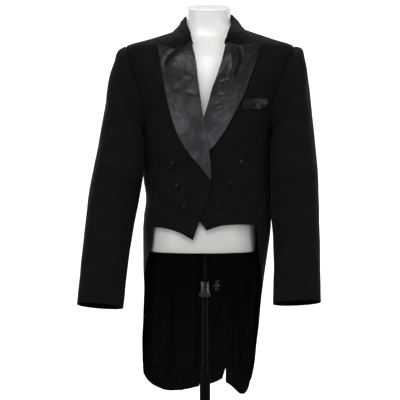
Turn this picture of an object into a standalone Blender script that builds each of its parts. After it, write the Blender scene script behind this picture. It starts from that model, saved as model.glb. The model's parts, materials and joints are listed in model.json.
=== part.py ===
"""Tailcoat with satin lapels on a limbless dress form, carried by a telescopic stand.

Metres, +Z up. The stand's pole is the Z axis and the floor is Z = 0. The front of the coat faces -Y,
and "right" and "left" are the wearer's, so the right side of the coat lies at -X. Every sewn piece is
a wall cut from one coat surface, which is a stack of rings round the body, and each sleeve is cut from
one tube. Angles round the body count from the centre front, and are positive towards the left side.
"""

import math

import bpy
import numpy as np
from mathutils import Vector
from mathutils.bvhtree import BVHTree

# Cloth
WALL = 0.0018
LINING_WALL = 0.0012
SATIN_WALL = 0.0016
SEAM_GAP = 0.0004
SQUARENESS = 2.3

# Levels of the coat
WAIST_SEAM = 0.960
WAIST_BACK = 0.978
UNDERARM = 1.190
SHOULDER_TIP = 1.4238
NECK_POINT = 1.4760
NECK_BACK = 1.4860

# Stand and form
STAND_SIDES = 24
FLOOR_BASE_RADIUS = 0.19
FLOOR_BASE_HEIGHT = 0.012
FLOOR_BASE_SIDES = 40
FLOOR_BASE_EDGE = 0.004
BOSS_RADIUS = 0.030
BOSS_HEIGHT = 0.004
TUBE_RADIUS = 0.0140
TUBE_BORE = 0.0105
TUBE_TOP = 0.792
ROD_RADIUS = 0.0085
ROD_BOTTOM = 0.430
ROD_END_GAP = 0.004
CLAMP_RADIUS = 0.0190
CLAMP_HEAD_RADIUS = 0.0165
CLAMP_LIP_RADIUS = 0.0205
CLAMP_RISE = 0.026
CLAMP_SKIRT = 0.016
CLAMP_CHAMFER = 0.003
CLAMP_GAP = 0.0005
SCREW_HEIGHT = TUBE_TOP + 0.013
SCREW_SIDES = 16
WING_HALF_THICKNESS = 0.0016
WING_REACH = 0.0135
WING_HALF_WAIST = 0.0020
WING_ROOT = 0.0070
WING_TIP = 0.0185
WING_WAIST_TIP = 0.0135
FLANGE_RADIUS = 0.0420
FLANGE_THICKNESS = 0.003
FLANGE_NECK_RADIUS = 0.0140
FLANGE_FILLET = 0.002
FLANGE_LENGTH = 0.016
FORM_BOTTOM = 0.8955
RUNNING_GAP = 0.0006
TOUCH = 0.0003

# Rings of the coat's outer surface, from the hem of the tails to the neck
RING_COLUMNS = ("height", "right_x", "left_x", "front_y", "back_y", "side_y")
COAT_ROWS = (
    (0.485, -0.163, 0.126, -0.085, 0.128, 0.030),
    (0.560, -0.167, 0.130, -0.088, 0.126, 0.030),
    (0.630, -0.168, 0.1355, -0.092, 0.124, 0.028),
    (0.710, -0.163, 0.143, -0.098, 0.120, 0.024),
    (0.790, -0.160, 0.1495, -0.106, 0.114, 0.018),
    (0.890, -0.161, 0.163, -0.112, 0.104, 0.014),
    (0.960, -0.161, 0.1715, -0.113, 0.099, 0.016),
    (1.030, -0.1545, 0.1720, -0.113, 0.096, 0.024),
    (1.100, -0.1590, 0.1715, -0.117, 0.102, 0.030),
    (1.190, -0.1615, 0.1725, -0.126, 0.115, 0.028),
    (1.280, -0.1760, 0.1900, -0.130, 0.122, 0.014),
    (1.350, -0.1940, 0.2120, -0.122, 0.120, 0.006),
    (1.400, -0.2040, 0.2270, -0.105, 0.113, 0.010),
    (1.4238, -0.2050, 0.2310, -0.091, 0.107, 0.010),
    (1.444, -0.1430, 0.1775, -0.078, 0.098, 0.010),
    (1.468, -0.0725, 0.1060, -0.062, 0.084, 0.010),
    (1.478, -0.0570, 0.0800, -0.058, 0.078, 0.009),
    (1.490, -0.0520, 0.0715, -0.0555, 0.073, 0.008),
    (1.515, -0.0500, 0.0680, -0.054, 0.070, 0.006),
)

# Rings of the dress form, from its flat underside to the neck; it stays inside the coat
FORM_ROWS = (
    (FORM_BOTTOM, -0.1445, 0.1300, -0.100, 0.084, 0.000),
    (FORM_BOTTOM + 0.007, -0.1470, 0.1325, -0.103, 0.087, 0.000),
    (0.960, -0.1440, 0.1340, -0.102, 0.085, 0.000),
    (1.020, -0.1380, 0.1380, -0.100, 0.080, 0.000),
    (1.100, -0.1420, 0.1460, -0.103, 0.088, 0.000),
    (1.190, -0.1500, 0.1580, -0.112, 0.102, 0.000),
    (1.280, -0.1640, 0.1760, -0.116, 0.109, 0.002),
    (1.340, -0.1790, 0.1960, -0.109, 0.107, 0.006),
    (1.380, -0.1870, 0.2090, -0.098, 0.101, 0.008),
    (1.4051, -0.1885, 0.2130, -0.0870, 0.0965, 0.010),
    (1.4201, -0.1830, 0.2080, -0.0765, 0.0935, 0.010),
    (1.4301, -0.1660, 0.1925, -0.0685, 0.0895, 0.010),
    (1.4391, -0.1425, 0.1730, -0.0615, 0.0850, 0.010),
    (1.4491, -0.1160, 0.1475, -0.0570, 0.0800, 0.010),
    (1.4591, -0.0880, 0.1190, -0.0545, 0.0740, 0.010),
    (1.4691, -0.0620, 0.0875, -0.0528, 0.0675, 0.009),
    (1.4780, -0.0505, 0.0700, -0.0520, 0.0620, 0.006),
    (1.4920, -0.0484, 0.0667, -0.0520, 0.0610, 0.004),
    (1.5220, -0.0484, 0.0667, -0.0560, 0.0570, 0.000),
)
FORM_SIDES = 32
FORM_ROW_SPACING = 0.05
NECK_ROOT = 1.472
NECK_TILT = math.radians(13)
NECK_CAP_THICKNESS = 0.005
NECK_CAP_SHARE = 0.985
NECK_CAP_TOP_SHARE = 0.93
NECK_CAP_EDGE = 0.7

# Armhole: an oval seen from the side, narrower at the top
ARMHOLE_MIDDLE_Y = 0.004
ARMHOLE_HALF_WIDTH = 0.064
ARMHOLE_NARROWING = 0.16
ARMHOLE_STEP = 15
BACK_SEAM_TURN = -15
FORE_SEAM_TURN = 240
SEAM_TWISTS = (15, 11, 7, 3)

# Edges of the fronts, from the hem point up the front edge and the roll line to the shoulder seam
EDGE_COLUMNS = ("height", "x")
RIGHT_FRONT_EDGE = (
    (0.9290, -0.0305),
    (0.9500, -0.0235),
    (0.9760, -0.0140),
    (1.0160, 0.0002),
    (1.0564, 0.0155),
    (1.0791, 0.0155),
    (1.1118, 0.0146),
    (1.1544, 0.0096),
    (1.1820, 0.0045),
    (1.2395, -0.0055),
    (1.2819, -0.0105),
    (1.3321, -0.0180),
    (1.3778, -0.0230),
    (1.4088, -0.0294),
    (1.4300, -0.0345),
)
LEFT_FRONT_EDGE = (
    (0.9535, 0.0035),
    (0.9720, -0.0145),
    (1.0185, -0.0215),
    (1.0790, -0.0230),
    (1.1319, -0.0215),
    (1.1945, -0.0150),
    (1.2370, -0.0042),
    (1.2819, 0.0095),
    (1.3120, 0.0170),
    (1.3446, 0.0296),
    (1.3829, 0.0423),
    (1.4080, 0.0480),
    (1.4300, 0.0527),
)
# Hem of each front: (x, height) from the hem point outwards
RIGHT_HEM = ((-0.0305, 0.9290), (-0.0635, 0.9470), (-0.1017, 0.9580), (-0.1350, 0.9600))
LEFT_HEM = ((0.0035, 0.9535), (0.0425, 0.9658), (0.0881, 0.9680), (0.1310, 0.9655))

# Satin lapels: a row from the roll line to the outer edge, from the top down
# Columns: roll_x, roll_z, edge_x, edge_z
RIGHT_LAPEL = (
    (-0.0358, 1.4330, -0.1221, 1.4259),
    (-0.0310, 1.4150, -0.1150, 1.3970),
    (-0.0240, 1.3850, -0.1095, 1.3620),
    (-0.0192, 1.3400, -0.1015, 1.3220),
    (-0.0125, 1.2950, -0.0934, 1.2825),
    (-0.0055, 1.2395, -0.0785, 1.2250),
    (0.0025, 1.1930, -0.0585, 1.1790),
    (0.0080, 1.1630, -0.0340, 1.1430),
    (0.0130, 1.1280, -0.0060, 1.1080),
    (0.0150, 1.0860, 0.0120, 1.0830),
)
LEFT_LAPEL = (
    (0.0527, 1.4280, 0.1418, 1.4271),
    (0.0480, 1.4080, 0.1330, 1.3990),
    (0.0400, 1.3770, 0.1215, 1.3640),
    (0.0296, 1.3446, 0.1100, 1.3370),
    (0.0180, 1.3090, 0.1000, 1.3060),
    (0.0085, 1.2790, 0.0873, 1.2780),
    (-0.0030, 1.2410, 0.0670, 1.2390),
    (-0.0110, 1.2120, 0.0455, 1.2010),
    (-0.0165, 1.1810, 0.0180, 1.1640),
    (-0.0195, 1.1560, -0.0090, 1.1420),
)
NOTCH_RIGHT = (-0.0761, 1.4092)
NOTCH_LEFT = (0.0905, 1.4183)
NOTCH_SHARES = (1.0, 0.35)
LAPEL_COLUMNS = 7
LAPEL_ROWS = 13
LAPEL_SEAT = 0.0010
LAPEL_SPRING = 0.0026
LAPEL_SPRING_LOSS = 0.75

# The right front laps over the left one
OVERLAP_START_X = -0.085
OVERLAP_BLEND = 0.045
OVERLAP_LEVELS = (0.985, 1.330)
OVERLAP_FADE = 0.06
OVERLAP_LIFT = 0.0030
LAPEL_ROOM = 0.0028

# Welt of the breast pocket
WELT_X = (0.0925, 0.1530)
WELT_Z = (1.2590, 1.2840)
WELT_LEAN = 0.002
WELT_RISE = 0.004
WELT_SEAT = 0.0010
WELT_COLUMNS = 7
WELT_ROWS = 3

# Sleeves: outer and inner point of each ring, seen from the front, with its depth and its lean forward
# Columns: outer_x, outer_z, inner_x, inner_z, half_depth, middle_y, front_rise
RIGHT_SLEEVE = (
    (-0.2265, 1.4110, -0.1640, 1.1800, 0.066, -0.004, 0.00),
    (-0.2365, 1.3740, -0.1625, 1.1690, 0.067, -0.012, 0.00),
    (-0.2475, 1.3260, -0.1605, 1.1560, 0.068, -0.018, 0.00),
    (-0.2590, 1.2620, -0.1590, 1.1370, 0.067, -0.022, 0.00),
    (-0.2715, 1.1910, -0.1580, 1.1130, 0.065, -0.023, 0.00),
    (-0.2862, 1.1180, -0.1620, 1.0760, 0.063, -0.020, 0.02),
    (-0.3000, 1.0450, -0.1750, 1.0160, 0.060, -0.018, 0.06),
    (-0.3098, 0.9650, -0.1865, 0.9430, 0.055, -0.022, 0.14),
    (-0.3185, 0.8840, -0.1978, 0.8660, 0.048, -0.034, 0.22),
    (-0.3238, 0.8150, -0.2050, 0.8005, 0.042, -0.048, 0.28),
    (-0.3285, 0.7615, -0.2095, 0.7525, 0.038, -0.060, 0.30),
)
LEFT_SLEEVE = (
    (0.2520, 1.4170, 0.1750, 1.1800, 0.066, -0.004, 0.00),
    (0.2590, 1.3820, 0.1735, 1.1690, 0.067, -0.012, 0.00),
    (0.2668, 1.3320, 0.1715, 1.1550, 0.068, -0.018, 0.00),
    (0.2745, 1.2650, 0.1700, 1.1350, 0.067, -0.022, 0.00),
    (0.2825, 1.1890, 0.1690, 1.1080, 0.065, -0.024, 0.00),
    (0.2900, 1.1080, 0.1690, 1.0640, 0.063, -0.023, 0.02),
    (0.2938, 1.0300, 0.1710, 1.0080, 0.060, -0.022, 0.06),
    (0.2955, 0.9560, 0.1742, 0.9400, 0.055, -0.025, 0.14),
    (0.2965, 0.8850, 0.1768, 0.8700, 0.048, -0.036, 0.22),
    (0.2962, 0.8220, 0.1755, 0.8110, 0.042, -0.050, 0.28),
    (0.2970, 0.7675, 0.1738, 0.7625, 0.038, -0.062, 0.30),
)

# Skirts: front edge and hem; the hem runs from the outer corner to the pleat
SKIRT_EDGE_COLUMNS = ("height", "turn")
RIGHT_SKIRT_EDGE = (
    (0.560, 101.0),
    (0.690, 94.0),
    (0.780, 88.0),
    (0.840, 78.0),
    (0.895, 65.0),
    (0.960, 56.0),
)
LEFT_SKIRT_EDGE = (
    (0.560, 101.0),
    (0.690, 91.0),
    (0.780, 81.0),
    (0.840, 70.0),
    (0.895, 60.5),
    (0.960, 54.0),
)
# Hem of each tail: (x, height) from the outer corner to the pleat
RIGHT_TAIL_HEM = (
    (-0.1625, 0.5670),
    (-0.1560, 0.5490),
    (-0.1420, 0.5315),
    (-0.1243, 0.5195),
    (-0.1000, 0.5097),
    (-0.0600, 0.5090),
)
LEFT_TAIL_HEM = (
    (0.1250, 0.5600),
    (0.1180, 0.5310),
    (0.1125, 0.5140),
    (0.1055, 0.5045),
    (0.0970, 0.5020),
    (0.0605, 0.5320),
)
RIGHT_BACK_HEM = ((-0.0720, 0.5083), (-0.0450, 0.5115), (-0.0150, 0.5180))
LEFT_BACK_HEM = ((0.0465, 0.5400), (0.0250, 0.5290), (-0.0010, 0.5210))
PLEAT_X = {"right": -0.058, "left": 0.056}
PLEAT_LAP = 0.010
PLEAT_LIFT = 0.0035
VENT_LAP = 0.016
VENT_LIFT = 0.0028
VENT_START_X = -0.046
VENT_BLEND = 0.020
BACK_LAP_TOP = 1.040
BACK_LAP_FADE = 0.050
LINING_DROP = 0.004
LINING_INSET = 3.0
LINING_SLACK = 0.0020
LINING_SEAT = 0.0003
LINING_VENT_X = {"right": -0.026, "left": 0.010}
LINING_VENT_COLUMNS = 4

# Lines of the collar: its fold and its outer edge, seen from the front and then round the neck
# In front: (x, height)
RIGHT_COLLAR_FOLD = ((-0.0335, 1.4370), (-0.0375, 1.4500), (-0.0455, 1.4745))
LEFT_COLLAR_FOLD = ((0.0512, 1.4365), (0.0595, 1.4530), (0.0675, 1.4800))
RIGHT_COLLAR_EDGE = ((-0.0745, 1.4125), (-0.0760, 1.4250), (-0.0765, 1.4430))
LEFT_COLLAR_EDGE = ((0.0890, 1.4215), (0.0925, 1.4320), (0.0955, 1.4480))
# Round the neck: (turn, height)
RIGHT_FOLD_ROUND = ((-88.0, 1.4985), (-135.0, 1.5060), (-180.0, 1.5100))
LEFT_FOLD_ROUND = ((88.0, 1.5045), (135.0, 1.5080), (180.0, 1.5100))
RIGHT_EDGE_ROUND = ((-90.0, 1.4650), (-130.0, 1.4640), (-180.0, 1.4600))
LEFT_EDGE_ROUND = ((90.0, 1.4700), (130.0, 1.4660), (180.0, 1.4600))
COLLAR_FOLD_LIFTS = (0.0038, 0.0029, 0.0012, 0.0, 0.0, 0.0)
COLLAR_END_TUCK = (0.0014, -0.0066)
COLLAR_EDGE_LIFTS = (0.0056, 0.0064, 0.0078, 0.0078, 0.0062, 0.0056)
COLLAR_BASE_RISE = 0.0020
COLLAR_END_RISE = 0.0012
COLLAR_TURN_OUT = 0.0044
COLLAR_TURN_DROP = 0.0008
COLLAR_CROWN_OUT = 0.0021
COLLAR_CROWN_RISE = 0.0024
NECK_FRONT_STEPS = 5
NECK_BACK_STEPS = 6

# Columns and rows of the panels
SIDE_ROWS = 8
FRONT_HEM_COLUMNS = 7
SIDE_FRONT_COLUMNS = 3
TAIL_ROWS = 9
SIDE_BACK_SPREAD = 0.012
SIDE_BACK_BEND_START = 0.25
SIDE_BACK_BEND = 1.7
WAIST_BEND = 1.3
NECK_BEND = 1.6
EDGE_STEPS = 40

# Folds that the hanging cloth takes: a row for each
# Columns: turn, height, half_width, half_length, depth, slant
BODY_FOLDS = (
    (-62.0, 1.000, 9.0, 0.055, 0.0030, 35.0),
    (66.0, 1.020, 8.0, 0.060, 0.0028, -30.0),
    (-150.0, 1.060, 12.0, 0.060, 0.0030, -20.0),
    (152.0, 1.075, 11.0, 0.050, 0.0026, 25.0),
    (-118.0, 0.700, 9.0, 0.190, 0.0065, 0.0),
    (-146.0, 0.640, 8.0, 0.160, 0.0050, 0.0),
    (120.0, 0.680, 8.0, 0.180, 0.0060, 0.0),
    (150.0, 0.650, 7.0, 0.150, 0.0045, 0.0),
)
# Columns: turn, ring, half_turn, half_rings, depth, slant
SLEEVE_FOLDS = (
    (235.0, 5.6, 70.0, 0.50, 0.0050, 0.010),
    (215.0, 6.7, 65.0, 0.45, 0.0055, -0.008),
    (330.0, 6.2, 60.0, 0.45, 0.0040, 0.006),
    (190.0, 7.8, 55.0, 0.45, 0.0040, 0.006),
    (150.0, 1.7, 40.0, 0.50, 0.0030, 0.012),
)

# Buttons
BUTTON_RADIUS = 0.0100
BUTTON_HEIGHT = 0.0050
SHANK_RADIUS = 0.0026
SHANK_HEIGHT = 0.0012
FRONT_BUTTONS = {
    "front_right": ((-0.0849, 1.1217), (-0.0723, 1.0675), (-0.0496, 1.0108)),
    "front_left": ((0.0916, 1.1255), (0.0588, 1.0727), (0.0336, 1.0210)),
}
BACK_BUTTON_HEIGHT = 0.985
BACK_BUTTON_SHARE = 0.76
BUTTON_SIDES = 14
# Half of a button: (share of the radius, share of the height), from the top down to its underside
BUTTON_PROFILE = (
    (0.0, 1.00),
    (0.45, 0.95),
    (0.74, 0.74),
    (0.84, 0.58),
    (0.95, 0.66),
    (1.00, 0.40),
    (0.90, 0.10),
)


def clear_scene():
    for item in list(bpy.data.objects):
        bpy.data.objects.remove(item, do_unlink=True)


def finish(name, colour, roughness, metallic=0.0):
    """A plain material with the part's colour, roughness and metallic value."""
    material = bpy.data.materials.get(name)
    if material is None:
        material = bpy.data.materials.new(name)
        material.use_nodes = True
        shader = material.node_tree.nodes["Principled BSDF"]
        shader.inputs["Base Color"].default_value = (*colour, 1.0)
        shader.inputs["Roughness"].default_value = roughness
        shader.inputs["Metallic"].default_value = metallic
    return material


def wool():
    return finish("black_wool", (0.012, 0.012, 0.014), 0.85)


def satin():
    return finish("black_satin", (0.035, 0.035, 0.040), 0.35)


def lining():
    return finish("black_lining", (0.008, 0.009, 0.010), 0.5)


def shell_white():
    return finish("white_shell", (0.82, 0.82, 0.80), 0.35)


def dark_steel():
    return finish("dark_steel", (0.05, 0.05, 0.055), 0.4, 0.8)


def bright_steel():
    return finish("bright_steel", (0.10, 0.10, 0.105), 0.25, 1.0)


def add_object(name, points, faces, material, smooth_angle=40, parent=None):
    """One named body from world points; with a parent, its place stays in the world."""
    mesh = bpy.data.meshes.new(name)
    mesh.from_pydata([tuple(float(c) for c in p) for p in points], [], [tuple(f) for f in faces])
    mesh.materials.append(material)
    mesh.shade_smooth()
    mesh.set_sharp_from_angle(angle=math.radians(smooth_angle))
    item = bpy.data.objects.new(name, mesh)
    bpy.context.scene.collection.objects.link(item)
    if parent is not None:
        item.parent = parent
        item.matrix_parent_inverse = parent.matrix_world.inverted()
    return item


def add_empty(name, place):
    item = bpy.data.objects.new(name, None)
    item.location = place
    bpy.context.scene.collection.objects.link(item)
    bpy.context.view_layer.update()
    return item


def smooth_value(rows, columns, wanted, at, key="height"):
    """A column's value at a key, on a monotone cubic through the table's rows."""
    keys = np.array([row[columns.index(key)] for row in rows])
    values = np.array([row[columns.index(wanted)] for row in rows])
    slopes = np.diff(values) / np.diff(keys)
    tangents = np.zeros(len(keys))
    tangents[0], tangents[-1] = slopes[0], slopes[-1]
    for i in range(1, len(keys) - 1):
        if slopes[i - 1] * slopes[i] > 0:
            tangents[i] = 2 * slopes[i - 1] * slopes[i] / (slopes[i - 1] + slopes[i])
    at = min(max(at, keys[0]), keys[-1])
    i = min(max(int(np.searchsorted(keys, at)) - 1, 0), len(keys) - 2)
    span = keys[i + 1] - keys[i]
    t = (at - keys[i]) / span
    return float(
        (2 * t**3 - 3 * t**2 + 1) * values[i]
        + (t**3 - 2 * t**2 + t) * span * tangents[i]
        + (3 * t**2 - 2 * t**3) * values[i + 1]
        + (t**3 - t**2) * span * tangents[i + 1]
    )


def ring_sizes(rows, height):
    """Middle, half width, front depth, back depth and the y of the widest line of a ring."""
    right, left, front, back, side = (
        smooth_value(rows, RING_COLUMNS, name, height)
        for name in ("right_x", "left_x", "front_y", "back_y", "side_y")
    )
    return (left + right) / 2, (left - right) / 2, side - front, back - side, side


def ring_point(rows, turn, height):
    """A point of a ring at an angle from the centre front, in degrees."""
    middle, half, front, back, side = ring_sizes(rows, height)
    s, c = math.sin(math.radians(turn)), math.cos(math.radians(turn))
    depth = front if c >= 0 else back
    reach = (abs(s / half) ** SQUARENESS + abs(c / depth) ** SQUARENESS) ** (-1 / SQUARENESS)
    return np.array((middle + reach * s, side - reach * c, height))


def turn_at_x(x, height, back=False):
    """The angle at which the coat's ring at a height reaches an x, on its front or its back."""
    middle, half, front_depth, back_depth, _ = ring_sizes(COAT_ROWS, height)
    share = min(abs(x - middle) / half, 0.9999)
    depth = (back_depth if back else front_depth) * (1 - share**SQUARENESS) ** (1 / SQUARENESS)
    turn = math.degrees(math.atan2(abs(x - middle), -depth if back else depth))
    return math.copysign(turn, x - middle)


def turn_at_y(y, height, sign):
    """The angle at which the ring's side reaches a y; sign is -1 on the right side."""
    _, half, front_depth, back_depth, side = ring_sizes(COAT_ROWS, height)
    depth = front_depth if y <= side else back_depth
    share = min(abs(y - side) / depth, 0.9999)
    reach = half * (1 - share**SQUARENESS) ** (1 / SQUARENESS)
    return sign * math.degrees(math.atan2(reach, side - y))


def bump(value):
    return math.cos(min(abs(value), 1.0) * math.pi / 2) ** 2


def body_fold(turn, height):
    """How far the folds lift the cloth off its ring."""
    lift = 0.0
    for middle, level, half_width, half_length, depth, slant in BODY_FOLDS:
        across = turn - middle - slant * (height - level) / 0.1
        lift += depth * bump(across / half_width) * bump((height - level) / half_length)
    return lift


def coat_surface(turn, height):
    """A point of the coat's outer surface and its normal, found from small steps round and up."""
    step, rise = 0.4, 0.002
    point = ring_point(COAT_ROWS, turn, height)
    side = ring_point(COAT_ROWS, turn + step, height) - ring_point(COAT_ROWS, turn - step, height)
    top, low = min(height + rise, COAT_ROWS[-1][0]), max(height - rise, COAT_ROWS[0][0])
    along = ring_point(COAT_ROWS, turn, top) - ring_point(COAT_ROWS, turn, low)
    normal = np.cross(side, along)
    return point, normal / np.linalg.norm(normal)


def coat_point(turn, height, out=0.0):
    """A point of the coat, moved out from its outer surface along the normal."""
    point, normal = coat_surface(turn, height)
    return point + normal * (out + body_fold(turn, height))


def coons(bottom, top, left, right, fade=4):
    """A grid of (turn, height) pairs filled in between four edges; left and right run upwards.

    Rows run straight from edge to edge, and take the bend of the top or bottom edge only near it.
    """
    bottom, top, left, right = (np.array(edge, float) for edge in (bottom, top, left, right))
    u = np.linspace(0, 1, len(bottom))[None, :, None]
    v = np.linspace(0, 1, len(left))[:, None, None]
    straight = (1 - u) * left[:, None] + u * right[:, None]
    bend_low = bottom[None] - ((1 - u) * bottom[0] + u * bottom[-1])
    bend_high = top[None] - ((1 - u) * top[0] + u * top[-1])
    return straight + (1 - v) ** fade * bend_low + v**fade * bend_high


def trimmed(points, gap=SEAM_GAP / 2):
    """The same grid with each edge drawn in by half of the seam gap."""
    points = points.copy()
    for edge, inner in ((0, 1), (-1, -2)):
        for line, beside in ((points[edge], points[inner]), (points[:, edge], points[:, inner])):
            step = beside - line
            length = np.linalg.norm(step, axis=1, keepdims=True)
            line += step * np.minimum(gap / np.maximum(length, 1e-9), 0.3)
    return points


def wall_from(outer, inner):
    """Points and faces of a closed wall between two grids; the outer grid faces out."""
    rows, columns = outer.shape[:2]
    count = rows * columns
    points = np.concatenate([outer.reshape(-1, 3), inner.reshape(-1, 3)])
    faces = []
    for i in range(rows - 1):
        for j in range(columns - 1):
            a, b = i * columns + j, i * columns + j + 1
            c, d = b + columns, a + columns
            faces.append((a, b, c, d))
            faces.append((a + count, d + count, c + count, b + count))
    rim = list(range(columns))
    rim += [i * columns + columns - 1 for i in range(1, rows)]
    rim += [(rows - 1) * columns + j for j in range(columns - 2, -1, -1)]
    rim += [i * columns for i in range(rows - 2, 0, -1)]
    for a, b in zip(rim, rim[1:] + rim[:1]):
        faces.append((b, a, a + count, b + count))
    return points, faces


def facing_out(outer, faces, inner):
    """Turns every face round where the grid's own direction points inwards."""
    middle = len(outer) // 2, outer.shape[1] // 2
    i, j = min(middle[0], outer.shape[0] - 2), min(middle[1], outer.shape[1] - 2)
    across = outer[i, j + 1] - outer[i, j]
    along = outer[i + 1, j] - outer[i, j]
    if np.dot(np.cross(across, along), outer[i, j] - inner[i, j]) < 0:
        return [tuple(reversed(face)) for face in faces]
    return faces


def add_wall(name, outer, inner, material, parent):
    points, faces = wall_from(outer, inner)
    return add_object(name, points, facing_out(outer, faces, inner), material, parent=parent)


def coat_panel(name, grid, material, parent, lift=None, wall=WALL):
    """A sewn panel cut from the coat's surface, lifted off it where it laps over another."""
    raise_by = lift or (lambda turn, height: 0.0)
    outer, inner = np.zeros((*grid.shape[:2], 3)), np.zeros((*grid.shape[:2], 3))
    for i, row in enumerate(grid):
        for j, (turn, height) in enumerate(row):
            out = raise_by(turn, height)
            outer[i, j] = coat_point(turn, height, out)
            inner[i, j] = coat_point(turn, height, out - wall)
    return add_wall(name, trimmed(outer), trimmed(inner), material, parent)


def armhole(turn, sign):
    """(turn, height) of the armhole seam: 0 is its back, 90 the shoulder, 180 its front."""
    s, c = math.sin(math.radians(turn)), math.cos(math.radians(turn))
    middle, half = (SHOULDER_TIP + UNDERARM) / 2, (SHOULDER_TIP - UNDERARM) / 2
    height = middle + half * s
    if s > 0.999:
        return sign * 90.0, height
    y = ARMHOLE_MIDDLE_Y + ARMHOLE_HALF_WIDTH * (1 - ARMHOLE_NARROWING * s) * c
    return turn_at_y(y, height, sign), height


def armhole_arc(start, stop, sign):
    step = ARMHOLE_STEP if stop > start else -ARMHOLE_STEP
    return [armhole(turn, sign) for turn in range(start, stop + step, step)]


def along_line(points, count):
    """Points evenly spaced along a polyline."""
    points = np.array(points, float)
    lengths = np.concatenate([[0], np.cumsum(np.linalg.norm(np.diff(points, axis=0), axis=1))])
    at = np.linspace(0, lengths[-1], count)
    return np.stack([np.interp(at, lengths, points[:, k]) for k in range(points.shape[1])], axis=1)


def smooth_line(points, count, steps=12):
    """Points evenly spaced along a smooth curve through the given points."""
    points = np.array(points, float)
    padded = np.concatenate([[2 * points[0] - points[1]], points, [2 * points[-1] - points[-2]]])
    fine = []
    for before, start, stop, after in zip(padded, padded[1:], padded[2:], padded[3:]):
        for k in range(steps):
            t = k / steps
            bend = 2 * before - 5 * start + 4 * stop - after
            twist = 3 * start - before - 3 * stop + after
            fine.append(start + 0.5 * t * (stop - before + t * bend + t * t * twist))
    return along_line(fine + [points[-1]], count)


def shoulder_seam(sign, count):
    """From the shoulder tip to the neck point."""
    return [(sign * 90.0, h) for h in np.linspace(SHOULDER_TIP, NECK_POINT, count)]


def side_seam(sign):
    """From the waist up to the lowest point of the armhole."""
    turn, height = armhole(270, sign)
    line = []
    for k in range(SIDE_ROWS + 1):
        t = k / SIDE_ROWS
        line.append((sign * 90 + (turn - sign * 90) * t * t, WAIST_SEAM + (height - WAIST_SEAM) * t))
    return line


def side_back_seam(side, sign):
    """From the waist, close to the centre back, up to the back of the armhole."""
    top = armhole(BACK_SEAM_TURN, sign)
    line = []
    for k in range(SIDE_ROWS + 1):
        t = k / SIDE_ROWS
        height = WAIST_BACK + (top[1] - WAIST_BACK) * t
        x = abs(PLEAT_X[side]) + SIDE_BACK_SPREAD * t
        turn = turn_at_x(sign * x, height, back=True)
        share = max(0.0, (t - SIDE_BACK_BEND_START) / (1 - SIDE_BACK_BEND_START)) ** SIDE_BACK_BEND
        line.append((turn + (top[0] - turn) * share, height))
    return line


def waist_seam(side, sign):
    """From the side seam to the side-back seam, rising a little."""
    columns = (360 - (-BACK_SEAM_TURN) - 270) // ARMHOLE_STEP
    start, stop = sign * 90.0, side_back_seam(side, sign)[0][0]
    line = []
    for k in range(columns + 1):
        t = k / columns
        line.append((start + (stop - start) * t, WAIST_SEAM + (WAIST_BACK - WAIST_SEAM) * t**WAIST_BEND))
    return line


def front_hem(side, sign):
    """From the hem point to the corner where the skirt starts, then to the side seam."""
    hem = RIGHT_HEM if side == "right" else LEFT_HEM
    free = [(turn_at_x(x, z), z) for x, z in smooth_line(hem, FRONT_HEM_COLUMNS + 1)]
    turn, height = free[-1]
    joined = []
    for k in range(1, SIDE_FRONT_COLUMNS + 1):
        t = k / SIDE_FRONT_COLUMNS
        joined.append((turn + (sign * 90 - turn) * t, height + (WAIST_SEAM - height) * t))
    return free, joined


def neckline(side, sign):
    """The neck edge of the front, from the top of the roll line to the neck point."""
    low, x = (RIGHT_FRONT_EDGE if side == "right" else LEFT_FRONT_EDGE)[-1]
    first = turn_at_x(x, low)
    line = []
    for k in range(NECK_FRONT_STEPS + 1):
        t = k / NECK_FRONT_STEPS
        height = low + (NECK_POINT - low) * (1 - (1 - t) ** NECK_BEND)
        line.append((first + (sign * 90 - first) * t, height))
    return line


def back_neckline(sign):
    """The neck edge of the back, from the neck point to the centre back."""
    line = []
    for k in range(NECK_BACK_STEPS + 1):
        t = k / NECK_BACK_STEPS
        height = NECK_POINT + (NECK_BACK - NECK_POINT) * math.sin(t * math.pi / 2)
        line.append((sign * (90 + 90 * t), height))
    return line


def front_edge(side, sign, count):
    """Front edge, roll line and neckline, from the hem point to the neck point."""
    rows = RIGHT_FRONT_EDGE if side == "right" else LEFT_FRONT_EDGE
    places = []
    for height in np.linspace(rows[0][0], rows[-1][0], EDGE_STEPS):
        x = smooth_value(rows, EDGE_COLUMNS, "x", height)
        places.append(ring_point(COAT_ROWS, turn_at_x(x, height), height))
    edge = along_line(places, count - NECK_FRONT_STEPS)
    return [(turn_of(place), place[2]) for place in edge] + neckline(side, sign)[1:]


def turn_of(place):
    middle, _, _, _, side = ring_sizes(COAT_ROWS, place[2])
    return math.degrees(math.atan2(place[0] - middle, side - place[1]))


def front_lift(side):
    """The right front laps over the left one, with room for the left lapel between them."""
    if side == "left":
        return lambda turn, height: 0.0

    def lift(turn, height):
        x = ring_point(COAT_ROWS, turn, height)[0]
        near = min(max((x - OVERLAP_START_X) / OVERLAP_BLEND, 0.0), 1.0)
        near = near * near * (3 - 2 * near)
        low = min(max((height - OVERLAP_LEVELS[0]) / OVERLAP_FADE, 0.0), 1.0)
        high = min(max((OVERLAP_LEVELS[1] - height) / OVERLAP_FADE, 0.0), 1.0)
        return near * (OVERLAP_LIFT + LAPEL_ROOM * low * high) * high

    return lift


def build_front(side, sign, parent):
    free, joined = front_hem(side, sign)
    bottom = free + joined
    right = side_seam(sign) + armhole_arc(270, 90, sign)[1:]
    left = front_edge(side, sign, len(right))
    top = list(reversed(shoulder_seam(sign, len(bottom))))
    grid = coons(bottom, top, left, right)
    return coat_panel(f"front_{side}", grid, wool(), parent, front_lift(side))


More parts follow.
